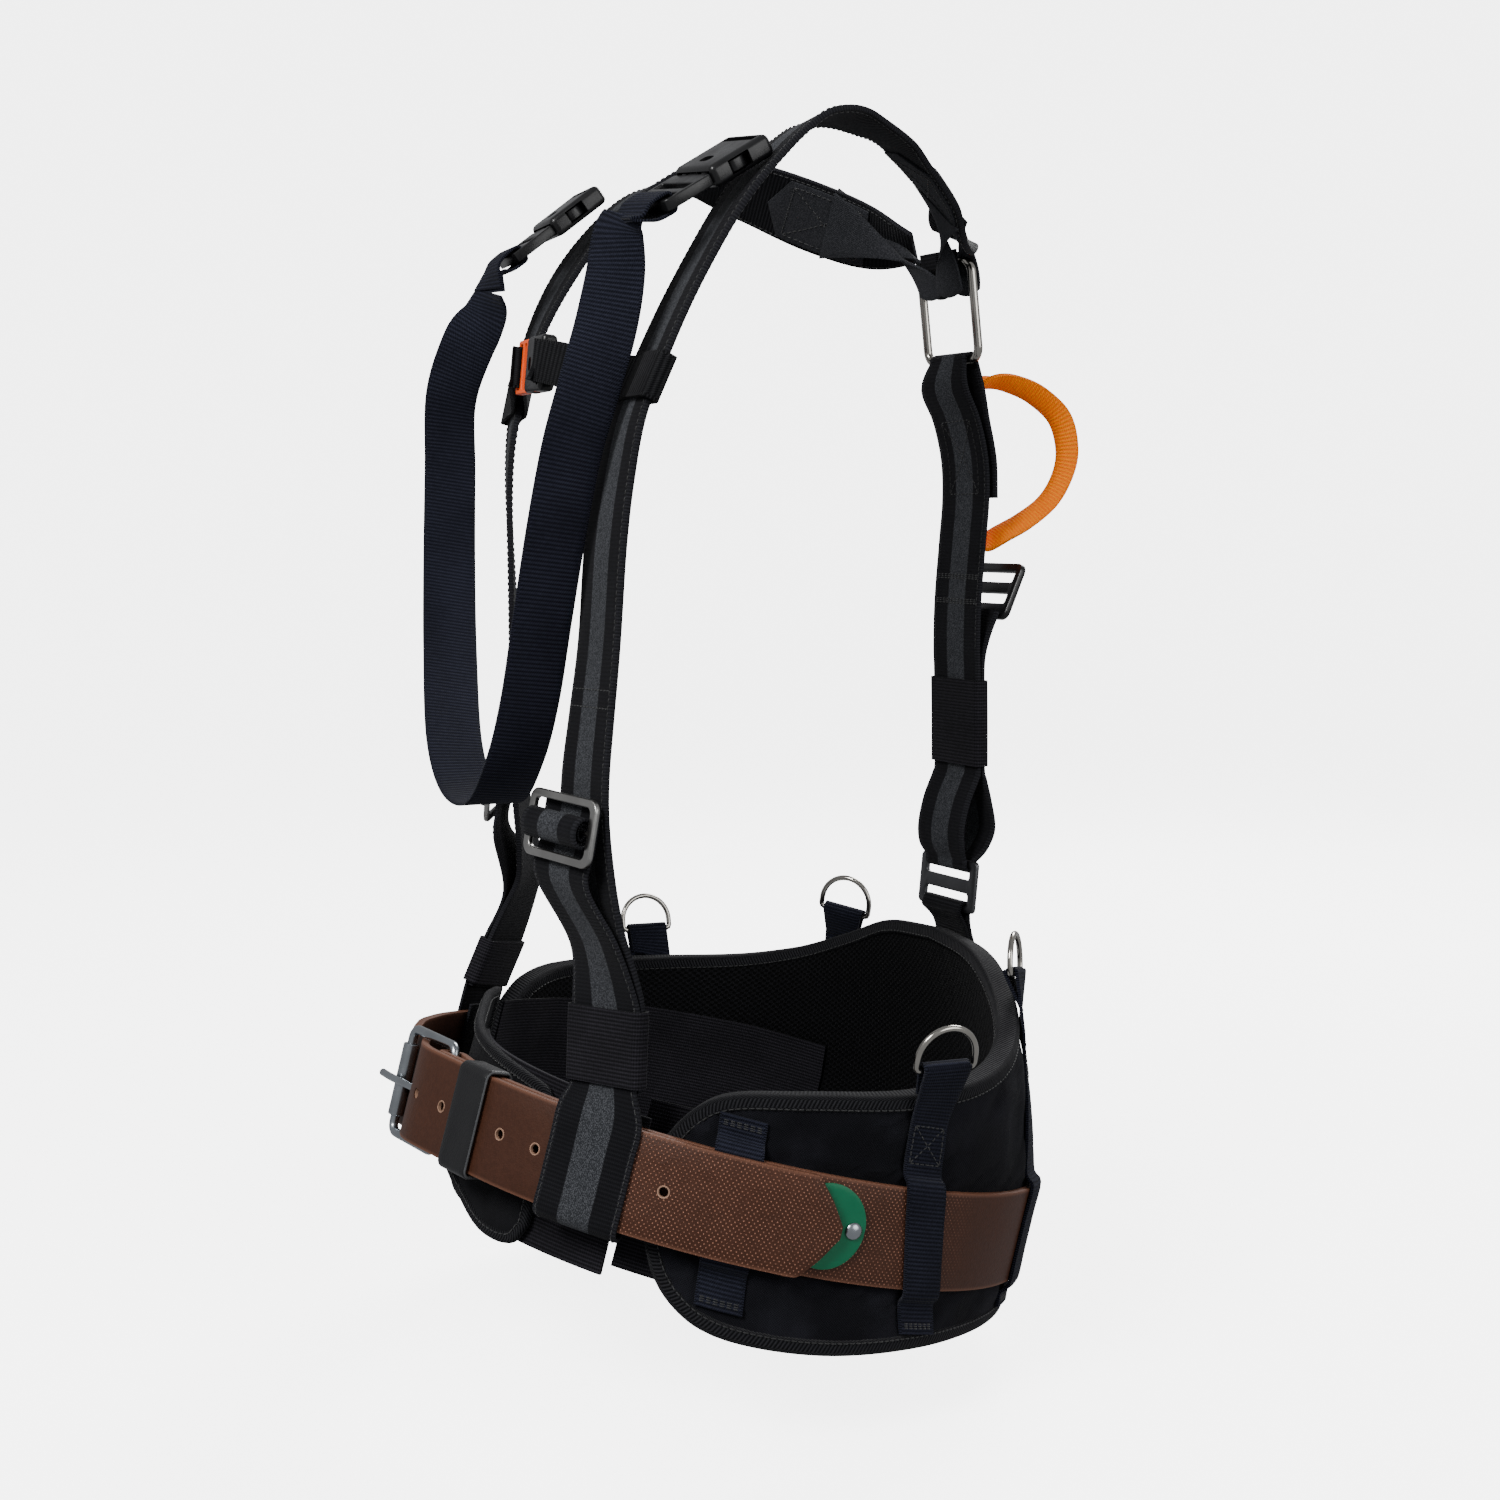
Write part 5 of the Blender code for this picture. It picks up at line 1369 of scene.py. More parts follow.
def belt_loop(word, side):
    """A webbing loop sewn to the pad above and below the belt."""
    heights = [0.0425, 0.037, 0.032, 0.0265, 0.010, -0.010, -0.0265, -0.032, -0.042, -0.050]
    rows = smooth_rows([loop_row(side * 66.3, side * -34, height) for height in heights], 4)
    rows = across_rows(rows, 7)
    ride(band(f"belt_loop_web_{word}", rows, WEB_THICK, [navy_web(LOOP_WIDTH / 2)], LOOP_WIDTH,
              bevel=0.0004), "harness", "black_webbing", f"belt_loop_front_{word}")
    half = LOOP_WIDTH / 2 - 0.002
    length = Surface(rows, LOOP_WIDTH).length
    lines = bar_tack(half, 0.003) + bar_tack(half, length - 0.005)
    sew(f"belt_loop_seam_{word}", outer_marks(rows, LOOP_WIDTH, lines, WEB_THICK), "harness",
        black_thread(), "black_webbing")


def outer_marks(rows, width, lines, thickness):
    """Stitches on whichever face of the piece looks away from the waist's middle."""
    surface = Surface(rows, width, 1)
    point, normal = surface.spot(0, surface.length / 2)
    if normal.dot(Vector((point.x, point.y, 0))) < 0:
        surface = Surface(rows, width, -1)
    return seam_marks(surface, lines, thickness / 2)


RING_BAR = 0.0016
RING_INNER = 0.0315


def ring_points(place, width, height, corner=24):
    """Closed D shape: a straight bar at Z = 0 and an arch above it."""
    half = width / 2
    side = max(height - half, 0.004)
    points = [(-half + 0.002, 0), (half - 0.002, 0), (half - 0.0006, 0.0006), (half, 0.002)]
    for turn in spread(0, math.pi, corner + 1):
        points.append((half * math.cos(turn),
                       side + half * math.sin(turn) * (height - side) / half))
    points += [(-half, 0.002), (-half + 0.0006, 0.0006)]
    return [place @ Vector((x, 0, z)) for x, z in points]


def ring_place(angle, slant, bar_out, bar_height, lean):
    """Frame of a D-ring on its bar."""
    here = angle + slant * bar_height
    upward = (waist(here + slant * 0.01, bar_out, bar_height + 0.01)
              - waist(here, bar_out, bar_height)).normalized()
    outward = (waist(here, 0.01, 0) - waist(here, 0, 0)).normalized()
    return place_on(waist(here, bar_out, bar_height), waist_along(here),
                    upward * math.cos(lean) + outward * math.sin(lean))


# Angle, slant, and the bar's out, height and lean, of each D-ring, and its tab's rows.
RINGS = {
    "side": (100.4, -82.0, 0.0145, 0.0875, math.radians(14),
             (-0.0470, -0.040, -0.032, -0.0265, -0.010, 0.010, 0.0265, 0.032, 0.046, 0.062)),
    "back": (136, 0.0, -0.0348, 0.1315, math.radians(-14),
             (-0.0395, -0.032, -0.0265, -0.010, 0.010, 0.0265, 0.032, 0.050, 0.070, 0.090,
              0.104)),
}


def nickel():
    return metal("polished_nickel", (0.45, 0.43, 0.39), 0.08, 0.22, (1, 1, 1))


def hung_ring(word, side):
    """A D-ring in a folded webbing tab that is sewn to the pad and bridges the belt."""
    angle, slant, bar_out, bar_height, lean, foot = RINGS[word]
    tag = f"{word}_{'left' if side > 0 else 'right'}"
    place = ring_place(side * angle, side * slant, bar_out, bar_height, lean)
    ring = bar(f"d_ring_wire_{tag}", ring_points(place, RING_INNER, 0.0215), RING_BAR, nickel(),
               closed=True, sides=5)
    ride(ring, f"ring_{tag}", "polished_nickel", f"d_ring_{tag}")
    fold = RING_BAR + GAP + WEB_THICK / 2 + 0.0003
    rows = [loop_row(side * angle, side * slant, height) for height in foot]
    for turn in (100, 60, 20, -20, -60, -100):
        bend = math.radians(turn)
        rows.append([place @ Vector((x, -fold * math.sin(bend), fold * math.cos(bend)))
                     for x in (-LOOP_WIDTH / 2, 0, LOOP_WIDTH / 2)])
    rows.append(loop_row(side * angle, side * slant, max(foot) + 0.006, WEB_THICK - GAP, 0.004))
    rows = across_rows(smooth_rows(rows, 4), 7)
    ride(band(f"ring_tab_web_{tag}", rows, WEB_THICK, [navy_web(LOOP_WIDTH / 2)], LOOP_WIDTH,
              bevel=0.0004), "harness", "black_webbing", f"ring_tab_{tag}")
    sewn = Surface(rows, LOOP_WIDTH).lengths[4 * (len(foot) - 1)]
    half = LOOP_WIDTH / 2 - 0.0025
    lines = bar_tack(half, 0.003) + box_x(half, sewn - 0.026, sewn - 0.006)
    sew(f"ring_tab_seam_{tag}", outer_marks(rows[:4 * len(foot)], LOOP_WIDTH, lines, WEB_THICK),
        "harness", black_thread(), "black_webbing")


def navy_web(half):
    return ribbed(f"navy_webbing_{round(half * 2000)}", (0.002, 0.0022, 0.0042),
                  (0.023, 0.025, 0.040), 0.0021, half, 0.0012)


def waist_webbing():
    for side, word in ((1, "left"), (-1, "right")):
        belt_loop(word, side)
        hung_ring("side", side)
        hung_ring("back", side)


# ---- shoulder straps ----

# Middle lines of the shoulder straps, from the sleeve over the shoulder to the rear ring.
STRAP_LEFT = [((0.1218, -0.1292, 0.126), heading(16)), ((0.1200, -0.1332, 0.148), heading(10)),
              ((0.1165, -0.1366, 0.174), heading(10)), ((0.1138, -0.1378, 0.200), heading(9)),
              ((0.1130, -0.1370, 0.222), heading(8)), ((0.1123, -0.1335, 0.250), heading(6)),
              ((0.1108, -0.1287, 0.286), heading(4)), ((0.1095, -0.1247, 0.332), heading(4)),
              ((0.1088, -0.1195, 0.364), heading(2)), ((0.1084, -0.1125, 0.393), heading(0)),
              ((0.1090, -0.1000, 0.422), heading(-2)), ((0.1105, -0.0868, 0.450), heading(-3)),
              ((0.1118, -0.0712, 0.478), heading(-3)), ((0.1115, -0.0580, 0.498), heading(-2)),
              ((0.1095, -0.0430, 0.5155), heading(0)), ((0.1060, -0.0270, 0.530), heading(-2)),
              ((0.1010, -0.0100, 0.540), heading(-8)), ((0.0930, 0.0120, 0.543), heading(-16)),
              ((0.0840, 0.0390, 0.5370), heading(-23)), ((0.0740, 0.0600, 0.527), heading(-24)),
              ((0.0620, 0.0800, 0.5145), heading(-24)),
              ((0.0450, 0.0985, 0.5020), heading(-20, -0.2), 0.040),
              ((0.0260, 0.1115, 0.4985), heading(-4, -0.10), 0.026)]
STRAP_RIGHT = [((-0.1430, -0.0885, 0.115), heading(-42)),
               ((-0.1365, -0.0850, 0.134), heading(-36)), ((-0.1300, -0.0880, 0.156), heading(-30)),
               ((-0.1215, -0.0945, 0.192), heading(-26)), ((-0.1150, -0.0985, 0.240), heading(-22)),
               ((-0.1100, -0.1010, 0.298), heading(-20)), ((-0.1080, -0.1030, 0.367), heading(-16)),
               ((-0.1080, -0.0985, 0.406), heading(-12)), ((-0.1110, -0.0860, 0.447), heading(-6)),
               ((-0.1120, -0.0670, 0.483), heading(0)), ((-0.1100, -0.0440, 0.513), heading(0)),
               ((-0.1040, -0.0200, 0.5330), heading(4, 0.05)),
               ((-0.0980, 0.0080, 0.5410), heading(6, 0.25)),
               ((-0.0850, 0.0370, 0.5330), heading(6, 0.55)),
               ((-0.0660, 0.0700, 0.5180), heading(6, 0.85)),
               ((-0.0460, 0.0960, 0.5055), heading(6, 0.75), 0.040),
               ((-0.0260, 0.1150, 0.4985), heading(4, 0.20), 0.026)]

# Where each shoulder strap's lower webbing meets the belt: angle, out over the belt, the sleeve's
# ends on the strap, its heading, and the slide buckle's middle, heading and lean.
FEET = {
    "left": (43.0, TIP_OUT + BELT_THICK / 2 + 0.0013, Vector((0.1258, -0.1318, 0.064)),
             Vector((0.1222, -0.1286, 0.112)), 24, Vector((0.1140, -0.1500, 0.1970)), 15),
    "right": (-52.0, BELT_THICK / 2 + 0.0013, Vector((-0.1480, -0.1105, 0.060)),
              Vector((-0.1460, -0.0960, 0.094)), -46, Vector((-0.1225, -0.1085, 0.1880)), -28),
}
SLEEVE_THICK = 0.0012
LOWER_THICK = 0.0018
LOWER_FRONT = (STRAP_THICK + LOWER_THICK) / 2 + 0.0007


def ribbon_rows(stations, width, steps, closed=False, columns=9):
    """Rows across a strap along stations of (point, across) or (point, across, width)."""
    middles = through([Vector(s[0]) for s in stations], steps, closed)
    acrosses = through([Vector(s[1]).normalized() for s in stations], steps, closed)
    widths = through([Vector((s[2] if len(s) > 2 else width, 0)) for s in stations],
                     steps, closed)
    rows = []
    for i, middle in enumerate(middles):
        last = len(middles) - 1
        ahead = middles[(i + 1) % len(middles)] if closed or i < last else middle
        behind = middles[i - 1] if closed or i else middle
        along = (ahead - behind).normalized()
        across = acrosses[i] - along * acrosses[i].dot(along)
        half = across.normalized() * widths[i].x / 2
        rows.append([middle + half * share for share in spread(-1, 1, columns)])
    return rows


def strap_route(side):
    _, _, low, high, turn, *_ = FEET[side]
    start = [(low.lerp(high, share), heading(turn)) for share in (0.12, 0.55, 1.0)]
    return start + (STRAP_LEFT if side == "left" else STRAP_RIGHT)


STRAP_STEPS = 8
STRAP_ROWS = {side: ribbon_rows(strap_route(side), STRAP_WIDTH, STRAP_STEPS)
              for side in ("left", "right")}


def strap_length_at(side, height):
    """Distance along a strap where its front run passes a height."""
    surface = Surface(STRAP_ROWS[side], STRAP_WIDTH)
    for row, length in zip(surface.rows, surface.lengths):
        if row[4].z > height:
            return length
    return surface.length


def strap_place(side, height):
    """Frame on a shoulder strap's rising front run, at a height."""
    rows = STRAP_ROWS[side]
    i = next(i for i in range(len(rows) - 1) if rows[i + 1][4].z > height)
    low, high = rows[i][4], rows[i + 1][4]
    share = (height - low.z) / (high.z - low.z)
    across = (rows[i][-1] - rows[i][0]).lerp(rows[i + 1][-1] - rows[i + 1][0], share)
    return place_on(low.lerp(high, share), across, high - low)


def sewn_patch(name, surface, across, along, lift, thickness, looks, point_out=0.0):
    """A second layer sewn on a strap, with one end cut to a point where asked."""
    rows = surface.patch(across, along, lift, 9, 24)
    if point_out:
        middle = len(rows[0]) // 2
        step = (rows[0][middle] - rows[1][middle]).normalized()
        for j, point in enumerate(rows[0]):
            point += step * point_out * (1 - abs(j - middle) / middle)
    obj = band(name, rows, thickness, looks, across[1] - across[0], bevel=0.0003)
    return ride(obj, "harness", "strap_webbing")


def shoulder_straps():
    for side in ("left", "right"):
        rows = STRAP_ROWS[side]
        ride(band(f"shoulder_strap_web_{side}", rows, STRAP_THICK, strap_looks(), STRAP_WIDTH,
                  bevel=0.0006), "harness", "strap_webbing", f"shoulder_strap_{side}")
        surface = Surface(rows, STRAP_WIDTH)
        start, end = strap_length_at(side, 0.145), surface.length - 0.012
        half = STRAP_WIDTH / 2 - 0.0022
        lines = side_seams(half, start, end)
        for height in (0.252, 0.262):
            lines.append([(-half, strap_length_at(side, height)),
                          (half, strap_length_at(side, height))])
        marks = seam_marks(surface, lines, STRAP_THICK / 2)
        inner = Surface(rows, STRAP_WIDTH, -1)
        marks += seam_marks(inner, side_seams(half, start, end), STRAP_THICK / 2)
        sew(f"shoulder_strap_seam_{side}", marks, "harness", black_thread(), "strap_webbing")
        grey = [striped("yoke_patch", (0.009, 0.009, 0.011), (0.040, 0.040, 0.045),
                        STRAP_WIDTH * 2)]
        end = surface.length - 0.030
        for word, face in (("outer", surface), ("inner", inner)):
            sewn_patch(f"yoke_patch_{word}_{side}", face, (-0.0195, 0.0195), (end - 0.052, end),
                       STRAP_THICK / 2 + 0.0007, 0.0013, grey, 0.010)
            marks = seam_marks(face, box_x(0.0165, end - 0.049, end - 0.004),
                               STRAP_THICK / 2 + 0.0014)
            sew(f"yoke_seam_{word}_{side}", marks, "harness", black_thread(), "strap_webbing")


def buckle_frame_place(side):
    *_, middle, turn = FEET[side]
    lean = 0.18 if side == "left" else 0.10
    return frame_at(middle, heading(turn, -0.04), (0, lean, 1))


SLIDE_SIZE = (0.056, 0.033)
SLIDE_WINDOW = (0.0465, 0.0245)
SLIDE_THICK = 0.003
SLIDE_BAR = 0.0014
SLIDE_BEHIND = 0.0052
# The rolled tail on each slide buckle: how far its middle is in front of the bar, its half
# depth, its half height, and the gap to the layer inside it.
ROLL_FRONT = 0.0024
ROLL_DEPTH = 0.0050
ROLL_HEIGHT = 0.0068
ROLL_LAYER = 0.0013


def lower_strap(side):
    """Adjusting webbing: round the leather belt, up through the sleeve, to the slide buckle."""
    angle, over, low, high, *_ = FEET[side]
    inside = -BELT_THICK / 2 - 0.0014
    half = STRAP_WIDTH / 2
    shares = spread(-1, 1, 9)
    rows = [[waist(angle + share * half / DEGREE, out, height) for share in shares]
            for out, height in
            ((inside, 0.030), (inside, 0.012), (inside, -0.014), (inside, -0.0262),
             ((inside + over) / 2, -0.0300), (over, -0.0262), (over, -0.012), (over, 0.008),
             (over, 0.0262))]
    place = buckle_frame_place(side)
    places = [(strap_place(side, low.z + (high.z - low.z) * share), LOWER_FRONT)
              for share in (0.14, 0.4, 0.7, 1.0)]
    lowest = place @ Matrix.Translation((0, 0, -0.026))
    places.append((strap_place(side, (high.z + lowest.translation.z) / 2), LOWER_FRONT + 0.0016))
    places += [(place @ Matrix.Translation((0, 0, up)), -SLIDE_BEHIND)
               for up in (-0.026, -0.008, 0.012)]
    rows += [[here @ Vector((share * half, -out, 0)) for share in shares]
             for here, out in places]
    rows = smooth_rows(rows, 7)
    ride(band(f"lower_strap_web_{side}", rows, LOWER_THICK, strap_looks(), STRAP_WIDTH,
              bevel=0.0004), "harness", "black_webbing", f"lower_strap_{side}")
    surface = Surface(rows, STRAP_WIDTH)
    edge = half - 0.002
    marks = seam_marks(surface, side_seams(edge, surface.length * 0.16, surface.length - 0.03),
                       LOWER_THICK / 2)
    sew(f"lower_strap_seam_{side}", marks, "harness", black_thread(), "black_webbing")


def sleeve(side):
    """Ribbed elastic tube that gathers the strap and its lower webbing above the belt."""
    _, _, low, high, *_ = FEET[side]
    back = -STRAP_THICK / 2 - SLEEVE_THICK / 2 - 0.0010
    front = LOWER_FRONT + LOWER_THICK / 2 + SLEEVE_THICK / 2 + 0.0010
    outline = rounded(STRAP_WIDTH + SLEEVE_THICK + 0.0026, front - back, 0.0030,
                      z=(front + back) / 2, corner=5)
    places = [strap_place(side, low.z + (high.z - low.z) * share)
              for share in spread(0.18, 0.94, 15)]
    rows = []
    for x, out in outline:
        rows.append([place @ Vector((x, -out, 0)) for place in places])
    obj = band(f"strap_sleeve_tube_{side}", rows, SLEEVE_THICK, [elastic_look()],
               (places[-1].translation - places[0].translation).length, closed=True)
    ride(obj, "harness", "ribbed_elastic", f"strap_sleeve_{side}")


def satin():
    return metal("satin_nickel", (0.37, 0.365, 0.35), 0.22, 0.40, (9, 9, 1))


def slide_buckle(side):
    """Flat frame with a round centre bar, and the webbing's tail rolled on the bar."""
    place = buckle_frame_place(side)
    frame_plate = plate(f"slide_buckle_frame_{side}", [rounded(*SLIDE_SIZE, 0.006, corner=10),
                                                       rounded(*SLIDE_WINDOW, 0.003, corner=6)],
                        SLIDE_THICK, place, satin(), bevel=0.0009)
    ride(frame_plate, f"slider_{side}", "satin_nickel", f"slide_buckle_{side}")
    reach = SLIDE_WINDOW[0] / 2 + 0.001
    bar_wire = bar(f"slide_buckle_bar_{side}", [place @ Vector((-reach, 0, 0)),
                                               place @ Vector((reach, 0, 0))], SLIDE_BAR, satin())
    ride(bar_wire, f"slider_{side}", "satin_nickel")
    rows = []
    for turn in spread(0, 345, 24):
        bend = math.radians(turn)
        rows.append([place @ Vector((x, -ROLL_FRONT - ROLL_DEPTH * math.cos(bend),
                                     ROLL_HEIGHT * math.sin(bend)))
                     for x in spread(-STRAP_WIDTH / 2, STRAP_WIDTH / 2, 9)])
    roll = band(f"strap_roll_web_{side}", rows, WEB_THICK, strap_looks(), STRAP_WIDTH,
                closed=True, bevel=0.0003)
    ride(roll, f"slider_{side}", "black_webbing", f"strap_roll_{side}")
    spiral = []
    for share in spread(0, 1, 40):
        bend = math.radians(-60 - 620 * share)
        size = 1 - 0.62 * share
        depth = (ROLL_DEPTH - ROLL_LAYER) * size
        rise = (ROLL_HEIGHT - ROLL_LAYER) * size
        spiral.append([place @ Vector((x, -ROLL_FRONT - depth * math.cos(bend),
                                       rise * math.sin(bend)))
                       for x in spread(-STRAP_WIDTH / 2 + 0.0008, STRAP_WIDTH / 2 - 0.0008, 5)])
    inner = band(f"strap_roll_core_{side}", spiral, 0.0008, [black_web(STRAP_WIDTH / 2)],
                 STRAP_WIDTH)
    ride(inner, f"slider_{side}", "black_webbing")


# ---- back ----

REAR_RING = (0.050, 0.054, Vector((0, 0.1235, 0.4600)))
REAR_RING_WIRE = 0.0025
REAR_HEADING = 5


def rear_place(y, z, lean=0.0):
    return frame_at(Vector((0, y, z)), heading(REAR_HEADING), (0, lean, 1))


def rear_ring():
    width, height, centre = REAR_RING
    place = frame_at(centre, heading(REAR_HEADING), (0, -0.12, 1))
    points = [place @ Vector((x, 0, z)) for x, z in rounded(width, height, 0.007, corner=10)]
    ride(bar("rear_ring_wire", points, REAR_RING_WIRE, nickel(), closed=True), "harness",
         "polished_nickel", "rear_ring")


def fold_round(place, centre_x, radius, start, end, count):
    """Points of a fold in the place's YZ plane: 0 degrees is outward, 90 is up."""
    return [place @ Vector((centre_x, -radius * math.cos(math.radians(turn)),
                            radius * math.sin(math.radians(turn))))
            for turn in spread(start, end, count)]


YOKE_FOLD_WIDTH = 0.0168


def yoke_folds():
    """The sewn ends of the shoulder straps, folded over the rear ring's top bar."""
    _, height, centre = REAR_RING
    top = centre + Vector((0, -0.12 * height / 2, height / 2))
    for side, word in ((1, "left"), (-1, "right")):
        place = frame_at(top, heading(REAR_HEADING), (0, 0, 1))
        radius = REAR_RING_WIRE + GAP + WEB_THICK / 2
        x = side * 0.0092
        across = heading(REAR_HEADING)
        points = [place @ Vector((x, -radius - 0.0012, 0.0065))]
        points += fold_round(place, x, radius, -10, -170, 7)
        points.append(place @ Vector((x, radius + 0.0012, 0.0065)))
        rows = ribbon_rows([(point, across) for point in points], YOKE_FOLD_WIDTH, 5)
        ride(band(f"yoke_fold_web_{word}", rows, WEB_THICK, [black_web(YOKE_FOLD_WIDTH / 2)],
                  YOKE_FOLD_WIDTH, bevel=0.0003), "harness", "black_webbing",
             f"yoke_fold_{word}")


def yoke_lugs():
    """Wide sewn ends of the straps, turned down over the rear ring's top bar on both sides."""
    _, height, centre = REAR_RING
    place = frame_at(centre, heading(REAR_HEADING), (0, -0.12, 1))
    rearward = place.to_3x3() @ Vector((0, 1, 0))
    grey = [striped("yoke_lug", (0.009, 0.009, 0.011), (0.040, 0.040, 0.045), STRAP_WIDTH * 2)]
    for side, word in ((1, "left"), (-1, "right")):
        first, second = STRAP_ROWS[word][-15], STRAP_ROWS[word][-14]
        normal = (first[-1] - first[0]).cross(second[4] - first[4]).normalized()
        normal = normal if normal.dot(rearward) > 0 else -normal
        upper_first = first[-1].z > first[0].z
        starts = list(reversed(first)) if upper_first else first
        for face, sign in (("rear", 1), ("inner", -1)):
            lift = normal * sign * 0.0030
            out = sign * (0.0046 + 0.0012 * side)
            rows = []
            for share in spread(0, 1, 18):
                row = []
                for j, start in enumerate(starts):
                    x = side * (0.0225 - 0.0235 * j / 8)
                    reach = height / 2 - 0.0160 - 0.0030 * math.sin(math.pi * j / 8)
                    end = place @ Vector((x, out, reach))
                    bend = place @ Vector((x * 1.15, out * 1.5, height / 2 + 0.0075))
                    near = (start + lift).lerp(bend, share)
                    row.append(near.lerp(bend.lerp(end, share), share))
                rows.append(row)
            obj = band(f"yoke_lug_{face}_{word}", rows, 0.0016, grey, 0.030, bevel=0.0003)
            ride(obj, "harness", "strap_webbing")


# Depth and height of the rear strap's inner run, the side towards the wearer's back.
REAR_INNER = [(0.1205, 0.4180), (0.1285, 0.4000), (0.1340, 0.3780), (0.1350, 0.3550),
              (0.1330, 0.3300), (0.1305, 0.2980), (0.1300, 0.2720), (0.1306, 0.2560),
              (0.1311, 0.2290), (0.1315, 0.2025), (0.1300, 0.1960), (0.1245, 0.1830),
              (0.1210, 0.1680), (0.1215, 0.1570)]
REAR_OUTER = [(0.1370, 0.1570), (0.1415, 0.1680), (0.1390, 0.1830), (0.1356, 0.1960),
              (0.1341, 0.2025), (0.1337, 0.2290), (0.1332, 0.2560), (0.1340, 0.2680),
              (0.1375, 0.2800), (0.1430, 0.2930)]


def plate_place():
    return rear_place(0.1262, 0.1346, 0.10)


def through_plate(window):
    """Points of webbing through a window of the rear plate and round the bar at that height,
    from the side towards the wearer."""
    up = 1 if window > 0 else -1
    points = [(3.3, 3.6), (2.9, 1.6), (2.7, 0.0), (2.2, -1.5), (1.2, -2.3), (0, -2.5), (-1.2, -2.3),
              (-2.2, -1.5), (-2.7, 0.0), (-2.9, 1.6), (-3.3, 3.6)]
    return [plate_place() @ Vector((0, -out / 1000, window + up * rise / 1000))
            for out, rise in points]


def rear_strap():
    """Upper strap folded over the ring, down the back and round the plate, up to the adjuster."""
    _, height, centre = REAR_RING
    bottom = centre + Vector((0, 0.12 * height / 2, -height / 2))
    place = frame_at(bottom, heading(REAR_HEADING), (0, 0, 1))
    across = heading(REAR_HEADING)
    radius = REAR_RING_WIRE + GAP + LOWER_THICK / 2
    stations = [(Vector((0, y, z)), across) for y, z in
                ((0.1405, 0.3560), (0.1395, 0.3780), (0.1345, 0.4010), (0.1315, 0.4160))]
    stations += [(point, across, 0.034) for point in fold_round(place, 0, radius, 180, 0, 6)]
    stations += [(Vector((0, y, z)), across) for y, z in REAR_INNER]
    stations += [(point, across, 0.040) for point in through_plate(0.0114)]
    stations += [(Vector((0, y, z)), across) for y, z in REAR_OUTER]
    rows = ribbon_rows(stations, STRAP_WIDTH, 5)
    looks = strap_looks()
    ride(band("rear_strap_web", rows, LOWER_THICK, [looks[0], looks[0]], STRAP_WIDTH,
              bevel=0.0004), "harness", "black_webbing", "rear_strap")
    fold_end = Surface(rows, STRAP_WIDTH).lengths[5 * 10]
    half = STRAP_WIDTH / 2 - 0.0022
    lines = side_seams(half, fold_end + 0.012, fold_end + 0.150)
    lines += box_x(0.014, fold_end + 0.020, fold_end + 0.062)
    lines += bar_tack(half, fold_end + 0.108) + bar_tack(half, fold_end + 0.122)
    marks = seam_marks(Surface(rows, STRAP_WIDTH, -1), lines, LOWER_THICK / 2)
    sew("rear_strap_seam", marks, "harness", black_thread(), "black_webbing")


def rear_sleeve():
    rows = []
    levels = through([Vector((0.1327, 0.2040)), Vector((0.1324, 0.2290)),
                      Vector((0.1319, 0.2530))], 7)
    for across, out in rounded(STRAP_WIDTH + 0.0028, 0.0080, 0.0030, corner=5):
        rows.append([rear_place(y, z) @ Vector((across, out, 0)) for y, z in levels])
    ride(band("rear_sleeve_tube", rows, SLEEVE_THICK, [elastic_look()], 0.049, closed=True),
         "harness", "ribbed_elastic", "rear_sleeve")


def rear_plate():
    """Flat steel plate with a slot for the strap and a slot for the pad's tab."""
    black_steel = metal("black_steel", (0.10, 0.10, 0.105), 0.25, 0.45, (1, 1, 1))
    windows = [rounded(0.043, 0.0072, 0.002, z=z) for z in (0.0072, -0.0078)]
    ride(plate("rear_plate_steel", [rounded(0.056, 0.030, 0.003)] + windows, 0.0024,
               plate_place(), black_steel, bevel=0.0005), "harness", "black_steel", "rear_plate")


REAR_TAB_WIDTH = 0.038


def rear_tab():
    """Webbing tab on the back of the pad that holds the plate."""
    across = heading(REAR_HEADING)
    outer = [(waist(180, PAD_OUT + pad_lean(180, h) + 0.0060, h), heading(0))
             for h in (0.082, 0.100, 0.118, 0.134, 0.1455)]
    inner = [(waist(180, PAD_OUT + pad_lean(180, h) + 0.0034, h), heading(0))
             for h in (0.1455, 0.134, 0.118, 0.100, 0.084)]
    middle = [(point, across) for point in reversed(through_plate(-0.0120))]
    stations = [(p, a, REAR_TAB_WIDTH) for p, a in outer + middle + inner]
    rows = ribbon_rows(stations, REAR_TAB_WIDTH, 3)
    ride(band("rear_tab_web", rows, WEB_THICK, [black_web(REAR_TAB_WIDTH / 2)], REAR_TAB_WIDTH,
              bevel=0.0003), "harness", "black_webbing", "rear_tab")
    marks = outer_marks(rows[:13], REAR_TAB_WIDTH, box_x(0.015, 0.004, 0.036), WEB_THICK)
    sew("rear_tab_seam", marks, "harness", black_thread(), "black_webbing")


def rear_adjuster():
    """Plastic ladder buckle between the strap's lower end and its short upper tab."""
    place = rear_place(0.1520, 0.3030, 0.45)
    windows = [rounded(0.040, 0.0065, 0.0015, z=z) for z in (0.0085, -0.0045)]
    ride(plate("rear_adjuster_ladder", [rounded(0.050, 0.034, 0.005)] + windows, 0.0040, place,
               black_plastic(), bevel=0.0010), "harness", "black_plastic", "rear_adjuster")


def black_plastic():
    return moulded("black_plastic", (0.006, 0.006, 0.0065), 0.20, 0.40)


HANDLE_WIDTH = 0.026


